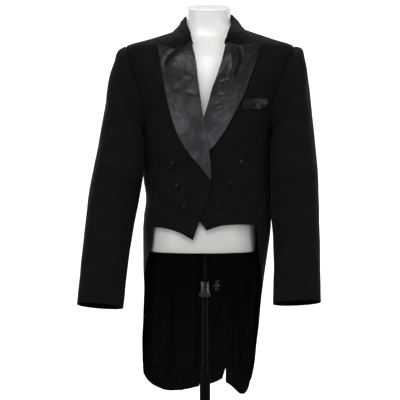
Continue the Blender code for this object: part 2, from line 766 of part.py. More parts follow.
def build_side_body(side, sign, parent):
    bottom = waist_seam(side, sign)
    top = armhole_arc(270, 360 + BACK_SEAM_TURN, sign)
    grid = coons(bottom, top, side_seam(sign), side_back_seam(side, sign))
    return coat_panel(f"side_body_{side}", grid, wool(), parent)


def back_lift(side):
    """Below the waist the backs lap over the skirts, and the right back over the left one."""

    def lift(turn, height):
        low = min(max((BACK_LAP_TOP - height) / BACK_LAP_FADE, 0.0), 1.0)
        low = low * low * (3 - 2 * low)
        x = ring_point(COAT_ROWS, turn, height)[0]
        near = min(max((x - VENT_START_X) / VENT_BLEND, 0.0), 1.0) if side == "right" else 0.0
        return low * (PLEAT_LIFT + VENT_LIFT * near)

    return lift


def tail_edges(side, sign):
    """The back's pleat edge and vent edge, from the hem to the waist."""
    hem = RIGHT_BACK_HEM if side == "right" else LEFT_BACK_HEM
    outer_x, outer_z = hem[0]
    inner_x, inner_z = hem[-1]
    middle = ring_sizes(COAT_ROWS, WAIST_BACK)[0]
    pleat, vent = [(turn_at_x(outer_x, outer_z, back=True), outer_z)], []
    for k in range(TAIL_ROWS):
        t = k / TAIL_ROWS
        if k > 0:
            height = outer_z + (WAIST_BACK - outer_z) * t
            lap = PLEAT_LAP * min(1.0, (1 - t) * 6)
            if side == "left":
                lap *= min(1.0, t * 3)
            pleat.append((turn_at_x(PLEAT_X[side] + sign * lap, height, back=True), height))
        height = inner_z + (WAIST_BACK - inner_z) * t
        lapped = middle - sign * VENT_LAP / 2 * min(1.0, (1 - t) * 4)
        x = inner_x + (lapped - inner_x) * min(1.0, t * 2.2)
        vent.append((turn_at_x(x, height, back=True), height))
    return pleat, vent


def whole_turn(line, sign):
    """Angles past the centre back kept on this side's count."""
    return [(turn if turn * sign > 0 else turn + 360 * sign, height) for turn, height in line]


def build_back(side, sign, parent):
    pleat, vent = tail_edges(side, sign)
    outer = pleat + side_back_seam(side, sign) + armhole_arc(BACK_SEAM_TURN, 90, sign)[1:]
    count = len(outer) - len(vent) - NECK_BACK_STEPS
    centre = [(sign * 180.0, h) for h in np.linspace(WAIST_BACK, NECK_BACK, count)]
    inner = whole_turn(vent, sign) + centre + back_neckline(sign)[::-1][1:]
    top = shoulder_seam(sign, FRONT_HEM_COLUMNS + SIDE_FRONT_COLUMNS + 1)
    hem = RIGHT_BACK_HEM if side == "right" else LEFT_BACK_HEM
    bottom = [(turn_at_x(x, z, back=True), z) for x, z in smooth_line(hem, len(top))]
    bottom = whole_turn(bottom, sign)
    bottom[0], bottom[-1] = outer[0], inner[0]
    grid = coons(bottom, top, outer, inner)
    return coat_panel(f"back_{side}", grid, wool(), parent, back_lift(side))


def skirt_grid(side, sign):
    """The skirt from its hem to the waist seam, and from its front edge to the pleat."""
    free, joined = front_hem(side, sign)
    top = [free[-1]] + joined[:-1] + waist_seam(side, sign)
    rows = RIGHT_SKIRT_EDGE if side == "right" else LEFT_SKIRT_EDGE
    hem = RIGHT_TAIL_HEM if side == "right" else LEFT_TAIL_HEM
    low = hem[0][1]
    front, pleat = [], []
    for k in range(TAIL_ROWS + 1):
        t = k / TAIL_ROWS
        height = low + (free[-1][1] - low) * t
        turn = sign * smooth_value(rows, SKIRT_EDGE_COLUMNS, "turn", height)
        front.append((turn, height))
        height = hem[-1][1] + (WAIST_BACK - hem[-1][1]) * t
        pleat.append((turn_at_x(PLEAT_X[side], height, back=True), height))
    front[-1], pleat[-1] = top[0], top[-1]
    bottom = []
    for x, height in smooth_line(hem, len(top)):
        bottom.append((turn_at_x(x, height, back=True), height))
    bottom[0], bottom[-1] = front[0], pleat[0]
    return coons(bottom, top, front, pleat)


def build_skirt(side, sign, parent):
    return coat_panel(f"skirt_{side}", skirt_grid(side, sign), wool(), parent)


def build_tail_lining(side, sign, parent):
    """The lining inside a tail, from the waist seam to the top of the turned-up hem."""
    skirt = skirt_grid(side, sign)[1:]
    skirt[-1, :, 1] -= LINING_DROP
    skirt[:, 0, 0] += sign * LINING_INSET
    columns = LINING_VENT_COLUMNS
    grid = np.zeros((skirt.shape[0], skirt.shape[1] + columns, 2))
    grid[:, : skirt.shape[1]] = skirt
    for i, (pleat_turn, height) in enumerate(skirt[:, -1]):
        vent = whole_turn([(turn_at_x(LINING_VENT_X[side], height, back=True), height)], sign)[0][0]
        for j in range(columns):
            grid[i, skirt.shape[1] + j] = (pleat_turn + (vent - pleat_turn) * (j + 1) / columns, height)

    def inside(turn, height):
        sewn = height > WAIST_SEAM - LINING_DROP - 0.002 and abs(turn) > 100
        return -(WALL + SEAM_GAP + (LINING_SEAT if sewn else LINING_SLACK))

    return coat_panel(f"tail_lining_{side}", grid, lining(), parent, inside, LINING_WALL)


def sleeve_rings(side, sign):
    """The sleeve's outer surface: a ring each row and a column each armhole step."""
    rows = RIGHT_SLEEVE if side == "right" else LEFT_SLEEVE
    turns = np.arange(BACK_SEAM_TURN, BACK_SEAM_TURN + 360, ARMHOLE_STEP)
    rings = np.zeros((len(rows) + 1, len(turns), 3))
    for k, row in enumerate(rows):
        outer_x, outer_z, inner_x, inner_z, depth, middle_y, rise = row
        middle = np.array(((outer_x + inner_x) / 2, middle_y, (outer_z + inner_z) / 2))
        reach = np.array(((outer_x - inner_x) / 2, 0.0, (outer_z - inner_z) / 2))
        for j, turn in enumerate(turns):
            s, c = seam_side(turn, k)
            square = (abs(s) ** SQUARENESS + abs(c) ** SQUARENESS) ** (-1 / SQUARENESS)
            point = middle + reach * s * square
            point = point + np.array((0.0, depth * c * square, -rise * depth * c * square))
            rings[k + 1, j] = point + fold_on_sleeve(turn, k, reach)
    for j, turn in enumerate(turns):
        place, normal = coat_surface(*armhole(turn % 360, sign))
        ahead = rings[1, j] - place
        rings[0, j] = place + ahead / np.linalg.norm(ahead) * SEAM_GAP + normal * SEAM_GAP
    return turns, rings


def seam_side(turn, ring):
    """Sine and cosine of a column's angle; near the armhole the back seam lies closer to the body."""
    twist = SEAM_TWISTS[ring] if ring < len(SEAM_TWISTS) else 0
    if turn < 90:
        turn = turn - twist * (90 - turn) / (90 - BACK_SEAM_TURN)
    elif turn > FORE_SEAM_TURN:
        turn = turn - twist * (turn - FORE_SEAM_TURN) / (360 + BACK_SEAM_TURN - FORE_SEAM_TURN)
    return math.sin(math.radians(turn)), math.cos(math.radians(turn))


def fold_on_sleeve(turn, ring, reach):
    """Folds of the sleeve push its surface in or out across its axis."""
    push = 0.0
    for middle, level, half_turn, half_rings, depth, slant in SLEEVE_FOLDS:
        apart = (turn - middle + 180) % 360 - 180
        push += depth * bump(apart / half_turn) * bump((ring - level - slant * apart) / half_rings)
    s, c = math.sin(math.radians(turn)), math.cos(math.radians(turn))
    outward = reach / np.linalg.norm(reach) * s + np.array((0.0, c, 0.0))
    return outward * push


def grid_normals(points, closed):
    """Unit normals of a grid; closed joins its last column to its first."""
    along = np.gradient(points, axis=0)
    if closed:
        across = np.roll(points, -1, axis=1) - np.roll(points, 1, axis=1)
    else:
        across = np.gradient(points, axis=1)
    normals = np.cross(across, along)
    return normals / np.linalg.norm(normals, axis=2, keepdims=True)


def build_sleeve(side, sign, parent):
    """A top sleeve and an under sleeve, cut from one tube at its two seams."""
    turns, rings = sleeve_rings(side, sign)
    normals = grid_normals(rings, closed=True)
    axis = rings.mean(axis=1, keepdims=True)
    if np.sum(normals * (rings - axis)) < 0:
        normals = -normals
    inner = rings - normals * WALL
    split = (FORE_SEAM_TURN - BACK_SEAM_TURN) // ARMHOLE_STEP
    top = list(range(0, split + 1))
    under = list(range(split, len(turns))) + [0]
    for name, columns in (("top_sleeve", top), ("under_sleeve", under)):
        outer_part = trimmed(rings[:, columns], SEAM_GAP)
        inner_part = trimmed(inner[:, columns], SEAM_GAP)
        add_wall(f"{name}_{side}", outer_part, inner_part, wool(), parent)


def lapel_grid(side, columns, rows):
    """(x, height) points of a lapel; its top row dips to the notch and rises to the peak."""
    table = RIGHT_LAPEL if side == "right" else LEFT_LAPEL
    notch = NOTCH_RIGHT if side == "right" else NOTCH_LEFT
    lines = smooth_line(table, rows)
    roll_top, peak = table[0][:2], table[0][2:]
    grid = np.zeros((rows, columns, 2))
    for i, (roll_x, roll_z, edge_x, edge_z) in enumerate(lines):
        for j in range(columns):
            u = j / (columns - 1)
            grid[i, j] = (roll_x + (edge_x - roll_x) * u, roll_z + (edge_z - roll_z) * u)
    notch_column = columns // 2
    for i, fade in enumerate(NOTCH_SHARES):
        for j in range(columns):
            if j <= notch_column:
                u = j / notch_column
                on_edge = np.array(roll_top) + (np.array(notch) - np.array(roll_top)) * u
            else:
                u = (j - notch_column) / (columns - 1 - notch_column)
                on_edge = np.array(notch) + (np.array(peak) - np.array(notch)) * u
            straight = np.array(roll_top) + (np.array(peak) - np.array(roll_top)) * j / (columns - 1)
            grid[i, j] += (on_edge - straight) * fade
    return grid


def build_lapel(side, sign, parent):
    """The satin facing, folded out over the front along the roll line."""
    columns, rows = LAPEL_COLUMNS, LAPEL_ROWS
    flat = lapel_grid(side, columns, rows)
    lift_of = front_lift(side)
    outer, inner = np.zeros((rows, columns, 3)), np.zeros((rows, columns, 3))
    for i in range(rows):
        for j in range(columns):
            u = j / (columns - 1)
            x, height = flat[i, j]
            turn = turn_at_x(x, height)
            spring = LAPEL_SPRING * math.sin(u * math.pi / 2) * (1 - LAPEL_SPRING_LOSS * i / (rows - 1))
            base = lift_of(turn, height) + LAPEL_SEAT + spring
            outer[i, j] = coat_point(turn, height, base + SATIN_WALL)
            inner[i, j] = coat_point(turn, height, base)
    return add_wall(f"lapel_{side}", outer, inner, satin(), parent)


def collar_guides(side, sign):
    """Base, fold and edge of half of the collar in space, from its front end to the centre back."""
    fold = RIGHT_COLLAR_FOLD if side == "right" else LEFT_COLLAR_FOLD
    edge = RIGHT_COLLAR_EDGE if side == "right" else LEFT_COLLAR_EDGE
    fold_round = RIGHT_FOLD_ROUND if side == "right" else LEFT_FOLD_ROUND
    edge_round = RIGHT_EDGE_ROUND if side == "right" else LEFT_EDGE_ROUND
    tuck_x, tuck_z = COLLAR_END_TUCK
    end_x, end_z = fold[0][0] - sign * tuck_x, fold[0][1] + tuck_z
    base = [(turn_at_x(end_x, end_z), end_z)]
    base += [(turn, height + COLLAR_BASE_RISE) for turn, height in neckline(side, sign)[1:]]
    base[1] = (base[1][0], base[1][1] + COLLAR_END_RISE)
    base += [(turn, height + COLLAR_BASE_RISE) for turn, height in back_neckline(sign)[1:]]
    fold = [(turn_at_x(x, z), z) for x, z in fold] + list(fold_round)
    edge = [(turn_at_x(x, z), z) for x, z in edge] + list(edge_round)
    lines = [np.array([coat_surface(turn, z)[0] for turn, z in base])]
    for line, lifts in ((fold, COLLAR_FOLD_LIFTS), (edge, COLLAR_EDGE_LIFTS)):
        surface = [coat_surface(turn, z) for turn, z in line]
        places = [point + normal * lift for (point, normal), lift in zip(surface, lifts)]
        lines.append(smooth_line(places, len(base)))
    return lines


def build_collar(parent):
    """The collar stands up round the neck and turns over onto the coat."""
    right, left = collar_guides("right", -1), collar_guides("left", 1)
    base, fold, edge = (np.concatenate([r, l[::-1][1:]]) for r, l in zip(right, left))
    grid = np.zeros((7, len(base), 3))
    for j in range(len(base)):
        up = (fold[j] - base[j]) / np.linalg.norm(fold[j] - base[j])
        around = fold[min(j + 1, len(base) - 1)] - fold[max(j - 1, 0)]
        away = np.cross(up, around)
        away /= np.linalg.norm(away)
        if np.dot(away, edge[j] - fold[j]) < 0:
            away = -away
        outside = fold[j] + away * COLLAR_TURN_OUT - up * COLLAR_TURN_DROP
        grid[0, j], grid[1, j], grid[2, j] = base[j], (base[j] + fold[j]) / 2, fold[j]
        grid[3, j] = fold[j] + away * COLLAR_CROWN_OUT + up * COLLAR_CROWN_RISE
        grid[4, j], grid[5, j], grid[6, j] = outside, (outside + edge[j]) / 2, edge[j]
    normals = grid_normals(grid, closed=False)
    if normals[5, len(base) // 2][1] < 0:
        normals = -normals
    return add_wall("collar", grid, grid - normals * WALL, wool(), parent)


def build_welt(parent):
    """The welt of the breast pocket, on the left front."""
    outer, inner = np.zeros((WELT_ROWS, WELT_COLUMNS, 3)), np.zeros((WELT_ROWS, WELT_COLUMNS, 3))
    for i in range(WELT_ROWS):
        for j in range(WELT_COLUMNS):
            u, v = j / (WELT_COLUMNS - 1), i / (WELT_ROWS - 1)
            x = WELT_X[0] + (WELT_X[1] - WELT_X[0]) * u + WELT_LEAN * v
            height = WELT_Z[0] + (WELT_Z[1] - WELT_Z[0]) * v + WELT_RISE * u
            turn = turn_at_x(x, height)
            outer[i, j] = coat_point(turn, height, WELT_SEAT + SATIN_WALL)
            inner[i, j] = coat_point(turn, height, WELT_SEAT)
    return add_wall("breast_welt", outer, inner, satin(), parent)


def turned(profile, segments, place, axis=Vector((0, 0, 1)), closed=False):
    """Points and faces of a turned body; the profile's (radius, height) pairs run from top to bottom."""
    turn = Vector((0, 0, 1)).rotation_difference(axis)
    points, faces, rings = [], [], []
    for radius, height in profile:
        if radius < 1e-7:
            rings.append([len(points)] * segments)
            points.append(Vector(place) + turn @ Vector((0, 0, height)))
            continue
        rings.append(list(range(len(points), len(points) + segments)))
        for k in range(segments):
            angle = 2 * math.pi * k / segments
            spot = Vector((radius * math.cos(angle), radius * math.sin(angle), height))
            points.append(Vector(place) + turn @ spot)
    pairs = list(zip(rings, rings[1:]))
    if closed:
        pairs.append((rings[-1], rings[0]))
    for upper, lower in pairs:
        for k in range(segments):
            n = (k + 1) % segments
            face = []
            for corner in (upper[k], lower[k], lower[n], upper[n]):
                if corner not in face:
                    face.append(corner)
            if len(face) > 2:
                faces.append(face)
    return points, faces


def add_turned(name, profile, segments, place, material, parent=None, axis=Vector((0, 0, 1)), closed=False):
    points, faces = turned(profile, segments, place, axis, closed)
    return add_object(name, points, faces, material, parent=parent)


def build_button(name, panel, spot, facing, parent):
    """A covered button on its shank, seated on the cloth below it."""
    mesh = panel.data
    tree = BVHTree.FromPolygons([v.co[:] for v in mesh.vertices], [p.vertices[:] for p in mesh.polygons])
    hit, normal, _, _ = tree.ray_cast(Vector(spot) + Vector(facing) * 0.05, -Vector(facing))
    profile = [(share * BUTTON_RADIUS, SHANK_HEIGHT + rise * BUTTON_HEIGHT) for share, rise in BUTTON_PROFILE]
    profile += [(SHANK_RADIUS, SHANK_HEIGHT), (SHANK_RADIUS, 0.0), (0.0, 0.0)]
    place = hit + normal * TOUCH
    return add_turned(name, profile, BUTTON_SIDES, place, satin(), parent, axis=normal)


def build_buttons(fronts, backs, parent):
    for panel_name, spots in FRONT_BUTTONS.items():
        for k, (x, height) in enumerate(spots):
            place, normal = coat_surface(turn_at_x(x, height), height)
            side = panel_name.split("_")[1]
            build_button(f"button_{side}_{k + 1}", fronts[side], place, normal, parent)
    for side, panel in backs.items():
        x = PLEAT_X[side] * BACK_BUTTON_SHARE
        place, normal = coat_surface(turn_at_x(x, BACK_BUTTON_HEIGHT, back=True), BACK_BUTTON_HEIGHT)
        build_button(f"waist_button_{side}", panel, place, normal, parent)


def stacked_rings(rings):
    """Faces between rings of equal count, with a flat face on the lowest and the highest one."""
    faces = [list(reversed(rings[0])), list(rings[-1])]
    count = len(rings[0])
    for lower, upper in zip(rings, rings[1:]):
        for k in range(count):
            n = (k + 1) % count
            faces.append((lower[k], lower[n], upper[n], upper[k]))
    return faces


def build_form(parent):
    """A smooth torso with a neck and no limbs, flat below; its neck leans and carries a thin cap."""
    heights = [row[0] for row in FORM_ROWS]
    heights += [(a + b) / 2 for a, b in zip(heights, heights[1:]) if b - a > FORM_ROW_SPACING]
    heights.sort()
    points, rings = [], []
    for height in heights:
        lean = max(0.0, (height - NECK_ROOT) / (heights[-1] - NECK_ROOT))
        rings.append(list(range(len(points), len(points) + FORM_SIDES)))
        for k in range(FORM_SIDES):
            place = ring_point(FORM_ROWS, 360 * k / FORM_SIDES, height)
            place[2] += math.tan(NECK_TILT) * place[1] * lean
            points.append(place)
    add_object("dress_form", points, stacked_rings(rings), shell_white(), parent=parent)
    build_neck_cap([points[k] for k in rings[-1]], parent)


def build_neck_cap(rim, parent):
    """A thin lid on the neck, a little smaller than the rim that it rests on."""
    middle = sum(rim) / len(rim)
    up = np.array((0.0, -math.sin(NECK_TILT), math.cos(NECK_TILT)))
    points, rings = [], []
    for share, rise in (
        (NECK_CAP_SHARE, TOUCH),
        (NECK_CAP_SHARE, NECK_CAP_THICKNESS * NECK_CAP_EDGE),
        (NECK_CAP_TOP_SHARE, NECK_CAP_THICKNESS),
    ):
        rings.append(list(range(len(points), len(points) + len(rim))))
        points += [middle + (spot - middle) * share + up * rise for spot in rim]
    add_object("neck_cap", points, stacked_rings(rings), shell_white(), parent=parent)


def build_stand():
    """A round floor plate with a hollow tube, and the clamp collar on the tube's top."""
    boss_top = FLOOR_BASE_HEIGHT + BOSS_HEIGHT
    base = (
        (0.0, boss_top),
        (BOSS_RADIUS, boss_top),
        (BOSS_RADIUS + BOSS_HEIGHT, FLOOR_BASE_HEIGHT),
        (FLOOR_BASE_RADIUS - FLOOR_BASE_HEIGHT, FLOOR_BASE_HEIGHT - 0.003),
        (FLOOR_BASE_RADIUS, FLOOR_BASE_EDGE),
        (FLOOR_BASE_RADIUS, 0.0),
        (0.0, 0.0),
    )
    add_turned("stand_base", base, FLOOR_BASE_SIDES, (0, 0, 0), dark_steel())
    tube = (
        (TUBE_BORE, TUBE_TOP),
        (TUBE_RADIUS, TUBE_TOP),
        (TUBE_RADIUS, boss_top + TOUCH),
        (TUBE_BORE, boss_top + TOUCH),
    )
    add_turned("stand_tube", tube, STAND_SIDES, (0, 0, 0), dark_steel(), closed=True)
    build_clamp()


def build_clamp():
    """A ring pressed over the top of the tube, with a bore in which the rod slides."""
    bore = ROD_RADIUS + RUNNING_GAP
    sleeve = TUBE_RADIUS + CLAMP_GAP
    top, foot = TUBE_TOP + CLAMP_RISE, TUBE_TOP - CLAMP_SKIRT
    clamp = (
        (bore, top),
        (CLAMP_HEAD_RADIUS, top),
        (CLAMP_RADIUS, top - CLAMP_CHAMFER),
        (CLAMP_RADIUS, TUBE_TOP + 0.004),
        (CLAMP_LIP_RADIUS, TUBE_TOP + 0.001),
        (CLAMP_LIP_RADIUS, foot + CLAMP_CHAMFER),
        (CLAMP_RADIUS, foot),
        (sleeve, foot),
        (sleeve, TUBE_TOP + TOUCH),
        (bore, TUBE_TOP + TOUCH),
    )
    add_turned("clamp_collar", clamp, STAND_SIDES, (0, 0, 0), bright_steel(), closed=True)


def wing_body():
    """The two flat wings of the thumb screw as one closed prism, narrower at its middle."""
    corners = []
    for z in (-WING_REACH, -WING_HALF_WAIST, WING_HALF_WAIST, WING_REACH):
        tip = WING_TIP if abs(z) > WING_HALF_WAIST else WING_WAIST_TIP
        for x, y in ((WING_ROOT, -1), (tip, -1), (tip, 1), (WING_ROOT, 1)):
            corners.append((x, y * WING_HALF_THICKNESS, z))
    faces = [(0, 1, 2, 3), (15, 14, 13, 12)]
    for k in range(3):
        a, b = 4 * k, 4 * k + 4
        for m in range(4):
            n = (m + 1) % 4
            faces.append((a + n, a + m, b + m, b + n))
    return corners, faces


def build_screw():
    """The thumb screw of the clamp: a short neck and two flat wings, turning about X."""
    pivot = add_empty("screw_axis", (CLAMP_RADIUS, 0.0, SCREW_HEIGHT))
    profile = (
        (0.0, 0.0200),
        (0.0034, 0.0195),
        (0.0050, 0.0140),
        (0.0050, 0.0050),
        (0.0034, 0.0040),
        (0.0034, TOUCH),
        (0.0, TOUCH),
    )
    points, faces = turned(profile, SCREW_SIDES, pivot.location, Vector((1, 0, 0)))
    knob = add_object("clamp_screw", points, faces, bright_steel(), parent=pivot)
    corners, faces = wing_body()
    wings = bpy.data.meshes.new("wing_shape")
    wings.from_pydata([tuple(Vector(c) + pivot.location) for c in corners], [], faces)
    cutter = bpy.data.objects.new("wing_shape", wings)
    cutter.hide_render = True
    cutter.display_type = "WIRE"
    bpy.context.scene.collection.objects.link(cutter)
    union = knob.modifiers.new("wings", "BOOLEAN")
    union.operation = "UNION"
    union.solver = "EXACT"
    union.object = cutter


def build_rod():
    """The height rod that slides in the tube, and the axis of the form on top of it."""
    slide = add_empty("rod_axis", (0.0, 0.0, TUBE_TOP))
    top = FORM_BOTTOM - ROD_END_GAP
    rod = (
        (0.0, top),
        (ROD_RADIUS - 0.001, top),
        (ROD_RADIUS, top - 0.001),
        (ROD_RADIUS, ROD_BOTTOM),
        (0.0, ROD_BOTTOM),
    )
    add_turned("height_rod", rod, STAND_SIDES, (0, 0, 0), dark_steel(), parent=slide)
    turn = add_empty("form_axis", (0.0, 0.0, FORM_BOTTOM))
    turn.parent = slide
    turn.matrix_parent_inverse = slide.matrix_world.inverted()
    bpy.context.view_layer.update()
    return turn


def build_flange(parent):
    """The plate under the form, with a socket that turns on the end of the rod."""
    bore = ROD_RADIUS + RUNNING_GAP
    plate_top = FORM_BOTTOM - TOUCH
    socket_top = FORM_BOTTOM - ROD_END_GAP + TOUCH
    flange = (
        (0.0, plate_top),
        (FLANGE_RADIUS, plate_top),
        (FLANGE_RADIUS, plate_top - FLANGE_THICKNESS),
        (FLANGE_NECK_RADIUS + FLANGE_FILLET, plate_top - FLANGE_THICKNESS - FLANGE_FILLET),
        (FLANGE_NECK_RADIUS, plate_top - FLANGE_LENGTH),
        (bore, plate_top - FLANGE_LENGTH),
        (bore, socket_top),
        (0.0, socket_top),
    )
    add_turned("form_flange", flange, STAND_SIDES, (0, 0, 0), dark_steel(), parent=parent)


def build_coat(parent):
    fronts, backs = {}, {}
    for side, sign in (("right", -1), ("left", 1)):
        fronts[side] = build_front(side, sign, parent)
        build_side_body(side, sign, parent)
        backs[side] = build_back(side, sign, parent)
        build_skirt(side, sign, parent)
        build_tail_lining(side, sign, parent)
        build_sleeve(side, sign, parent)
        build_lapel(side, sign, parent)
    build_collar(parent)
    build_welt(parent)
    build_buttons(fronts, backs, parent)


clear_scene()
build_stand()
build_screw()
form_axis = build_rod()
build_flange(form_axis)
build_form(form_axis)
build_coat(form_axis)
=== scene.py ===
"""Looks of a tailcoat with satin lapels, worn by a limbless dress form on a telescopic stand."""

import json
import math

import bmesh
import bpy
import numpy as np
from mathutils import Matrix, Vector, noise
from mathutils.bvhtree import BVHTree
from mathutils.kdtree import KDTree

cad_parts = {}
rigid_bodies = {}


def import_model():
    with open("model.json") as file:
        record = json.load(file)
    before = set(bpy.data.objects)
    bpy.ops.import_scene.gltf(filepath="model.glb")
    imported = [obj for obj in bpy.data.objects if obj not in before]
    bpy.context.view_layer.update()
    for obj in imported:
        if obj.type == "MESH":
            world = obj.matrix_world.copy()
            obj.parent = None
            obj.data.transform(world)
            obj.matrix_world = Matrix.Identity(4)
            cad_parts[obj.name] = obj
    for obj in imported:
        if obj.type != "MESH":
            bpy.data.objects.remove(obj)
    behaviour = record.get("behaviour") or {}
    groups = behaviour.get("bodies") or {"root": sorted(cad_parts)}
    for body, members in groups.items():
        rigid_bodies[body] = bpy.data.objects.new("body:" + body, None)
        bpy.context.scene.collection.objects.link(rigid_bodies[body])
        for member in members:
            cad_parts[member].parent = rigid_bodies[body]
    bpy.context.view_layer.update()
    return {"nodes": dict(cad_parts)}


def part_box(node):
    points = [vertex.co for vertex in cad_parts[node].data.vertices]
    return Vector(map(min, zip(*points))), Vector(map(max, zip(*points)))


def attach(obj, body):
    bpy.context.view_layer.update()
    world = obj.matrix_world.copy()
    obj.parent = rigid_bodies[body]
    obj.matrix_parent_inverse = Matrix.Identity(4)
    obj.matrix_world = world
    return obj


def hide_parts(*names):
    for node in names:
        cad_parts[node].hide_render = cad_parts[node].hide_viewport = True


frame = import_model()

# The room: a round pale floor that sweeps up into a pale wall and ceiling.
# An even sky and soft boxes of light stand round the coat, and the floor and walls only show to the camera.
# The camera stands 3.6 m in front of the coat, a little above its middle.
FIELD = 1.04
DISTANCE = 3.6
DOWN = math.radians(1.9)
AIM = Vector((-0.013, 0.0, 1.0274))
SENSOR = 36.0
ROOM_FLOOR = 18.0
ROOM_BEND = 2.0
ROOM_WALL = 16.0
ROOM_PEAK = 24.0
BEND_STEPS = 6
FLOOR_DROP = 0.0005
PAPER_GLOW = 1.05
SKY_LIGHT = 0.42
# Each light: name, place, height it is aimed at, width and height, power in watts.
SOFT_BOXES = (
    ("key_light", (-0.5, -2.3, 3.3), 1.2, (1.3, 1.0), 34.0),
    ("left_light", (-2.6, -2.8, 1.5), 1.0, (1.4, 2.0), 19.0),
    ("right_light", (2.6, -2.6, 1.7), 1.0, (1.4, 2.0), 23.0),
    ("top_light", (0.0, 1.2, 3.4), 1.2, (2.0, 1.2), 26.0),
    ("back_left_light", (2.4, 2.4, 1.9), 1.0, (1.4, 1.8), 22.0),
    ("back_right_light", (-2.2, 2.8, 1.6), 1.0, (1.4, 1.8), 30.0),
)

lens = bpy.data.cameras.new("camera")
lens.sensor_width = SENSOR
lens.lens = SENSOR * DISTANCE / FIELD
camera = bpy.data.objects.new("camera", lens)
camera.location = AIM + Vector((0.0, -math.cos(DOWN), math.sin(DOWN))) * DISTANCE
camera.rotation_euler = (math.pi / 2 - DOWN, 0.0, 0.0)
bpy.context.scene.collection.objects.link(camera)
bpy.context.scene.camera = camera


def choose(item):
    """Makes one object the only one that is selected."""
    for other in bpy.data.objects:
        other.select_set(False)
    item.select_set(True)
    bpy.context.view_layer.objects.active = item


def new_finish(name, colour, roughness, metallic=0.0, specular=0.5):
    """A material, its nodes and its main shader, to which each section adds its own detail."""
    material = bpy.data.materials.new(name)
    material.use_nodes = True
    nodes = material.node_tree.nodes
    shader = nodes["Principled BSDF"]
    shader.inputs["Base Color"].default_value = (*colour, 1.0)
    shader.inputs["Roughness"].default_value = roughness
    shader.inputs["Metallic"].default_value = metallic
    shader.inputs["Specular IOR Level"].default_value = specular
    return material, nodes, material.node_tree.links, shader


def noise_of(nodes, links, source, scale, detail=3.0, distortion=0.0):
    grain = nodes.new("ShaderNodeTexNoise")
    grain.inputs["Scale"].default_value = scale
    grain.inputs["Detail"].default_value = detail
    grain.inputs["Distortion"].default_value = distortion
    links.new(source, grain.inputs["Vector"])
    return grain.outputs["Fac"]


def ramp_of(nodes, links, source, low, high, start=0.3, stop=0.7):
    """A soft change from one colour to another."""
    ramp = nodes.new("ShaderNodeValToRGB")
    ramp.color_ramp.elements[0].position = start
    ramp.color_ramp.elements[1].position = stop
    ramp.color_ramp.elements[0].color = (*low, 1.0)
    ramp.color_ramp.elements[1].color = (*high, 1.0)
    links.new(source, ramp.inputs["Fac"])
    return ramp.outputs["Color"]


def grey_ramp(nodes, links, source, low, high, start=0.3, stop=0.7):
    return ramp_of(nodes, links, source, (low, low, low), (high, high, high), start, stop)


def bump_of(nodes, links, source, strength, depth, below=None):
    """Fine relief, laid over a coarser one where there is one below."""
    bump = nodes.new("ShaderNodeBump")
    bump.inputs["Strength"].default_value = strength
    bump.inputs["Distance"].default_value = depth
    links.new(source, bump.inputs["Height"])
    if below is not None:
        links.new(below, bump.inputs["Normal"])
    return bump.outputs["Normal"]


def lathe(name, profile, material, steps=96, closed=False, bevel=0.0, flip=False):
    """A turned piece on the Z axis, from (radius, height) pairs."""
    outline = bpy.data.meshes.new(name)
    edges = [(k, k + 1) for k in range(len(profile) - 1)]
    if closed:
        edges.append((len(profile) - 1, 0))
    outline.from_pydata([(r, 0.0, z) for r, z in profile], edges, [])
    item = bpy.data.objects.new(name, outline)
    bpy.context.scene.collection.objects.link(item)
    choose(item)
    spin = item.modifiers.new("spin", "SCREW")
    spin.steps = spin.render_steps = steps
    spin.use_merge_vertices = True
    spin.merge_threshold = 0.00001
    bpy.ops.object.modifier_apply(modifier="spin")
    bpy.ops.object.mode_set(mode="EDIT")
    bpy.ops.mesh.select_all(action="SELECT")
    bpy.ops.mesh.remove_doubles(threshold=0.000005)
    bpy.ops.mesh.normals_make_consistent(inside=flip)
    bpy.ops.object.mode_set(mode="OBJECT")
    if bevel > 0:
        soften = item.modifiers.new("soften", "BEVEL")
        soften.width = bevel
        soften.segments = 2
        soften.limit_method = "ANGLE"
        soften.angle_limit = math.radians(35)
        bpy.ops.object.modifier_apply(modifier="soften")
    bpy.ops.object.shade_smooth_by_angle(angle=math.radians(32))
    item.data.materials.append(material)
    return item


def paper_finish():
    material, nodes, links, shader = new_finish("studio_paper", (0.90, 0.90, 0.90), 0.95, specular=0.1)
    where = nodes.new("ShaderNodeTexCoord")
    cloud = noise_of(nodes, links, where.outputs["Object"], 0.8)
    links.new(grey_ramp(nodes, links, cloud, 0.89, 0.91), shader.inputs["Base Color"])
    shader.inputs["Emission Color"].default_value = (1.0, 1.0, 1.0, 1.0)
    shader.inputs["Emission Strength"].default_value = PAPER_GLOW
    return material


turns = [math.radians(90) * k / BEND_STEPS for k in range(BEND_STEPS + 1)]
bend = [(ROOM_FLOOR + ROOM_BEND * math.sin(turn), ROOM_BEND - ROOM_BEND * math.cos(turn)) for turn in turns]
room = [(0.0, 0.0)] + bend + [(ROOM_FLOOR + ROOM_BEND, ROOM_WALL), (0.0, ROOM_PEAK)]
floor = lathe("studio_floor", room, paper_finish(), flip=True)
floor.data.transform(Matrix.Translation((0.0, 0.0, -FLOOR_DROP)))
floor.visible_diffuse = False
floor.visible_glossy = False
floor.visible_shadow = False

sky = bpy.data.worlds.new("studio_sky")
sky.use_nodes = True
sky.node_tree.nodes["Background"].inputs["Color"].default_value = (1.0, 1.0, 1.0, 1.0)
sky.node_tree.nodes["Background"].inputs["Strength"].default_value = SKY_LIGHT
bpy.context.scene.world = sky
bpy.context.scene.view_settings.view_transform = "Standard"


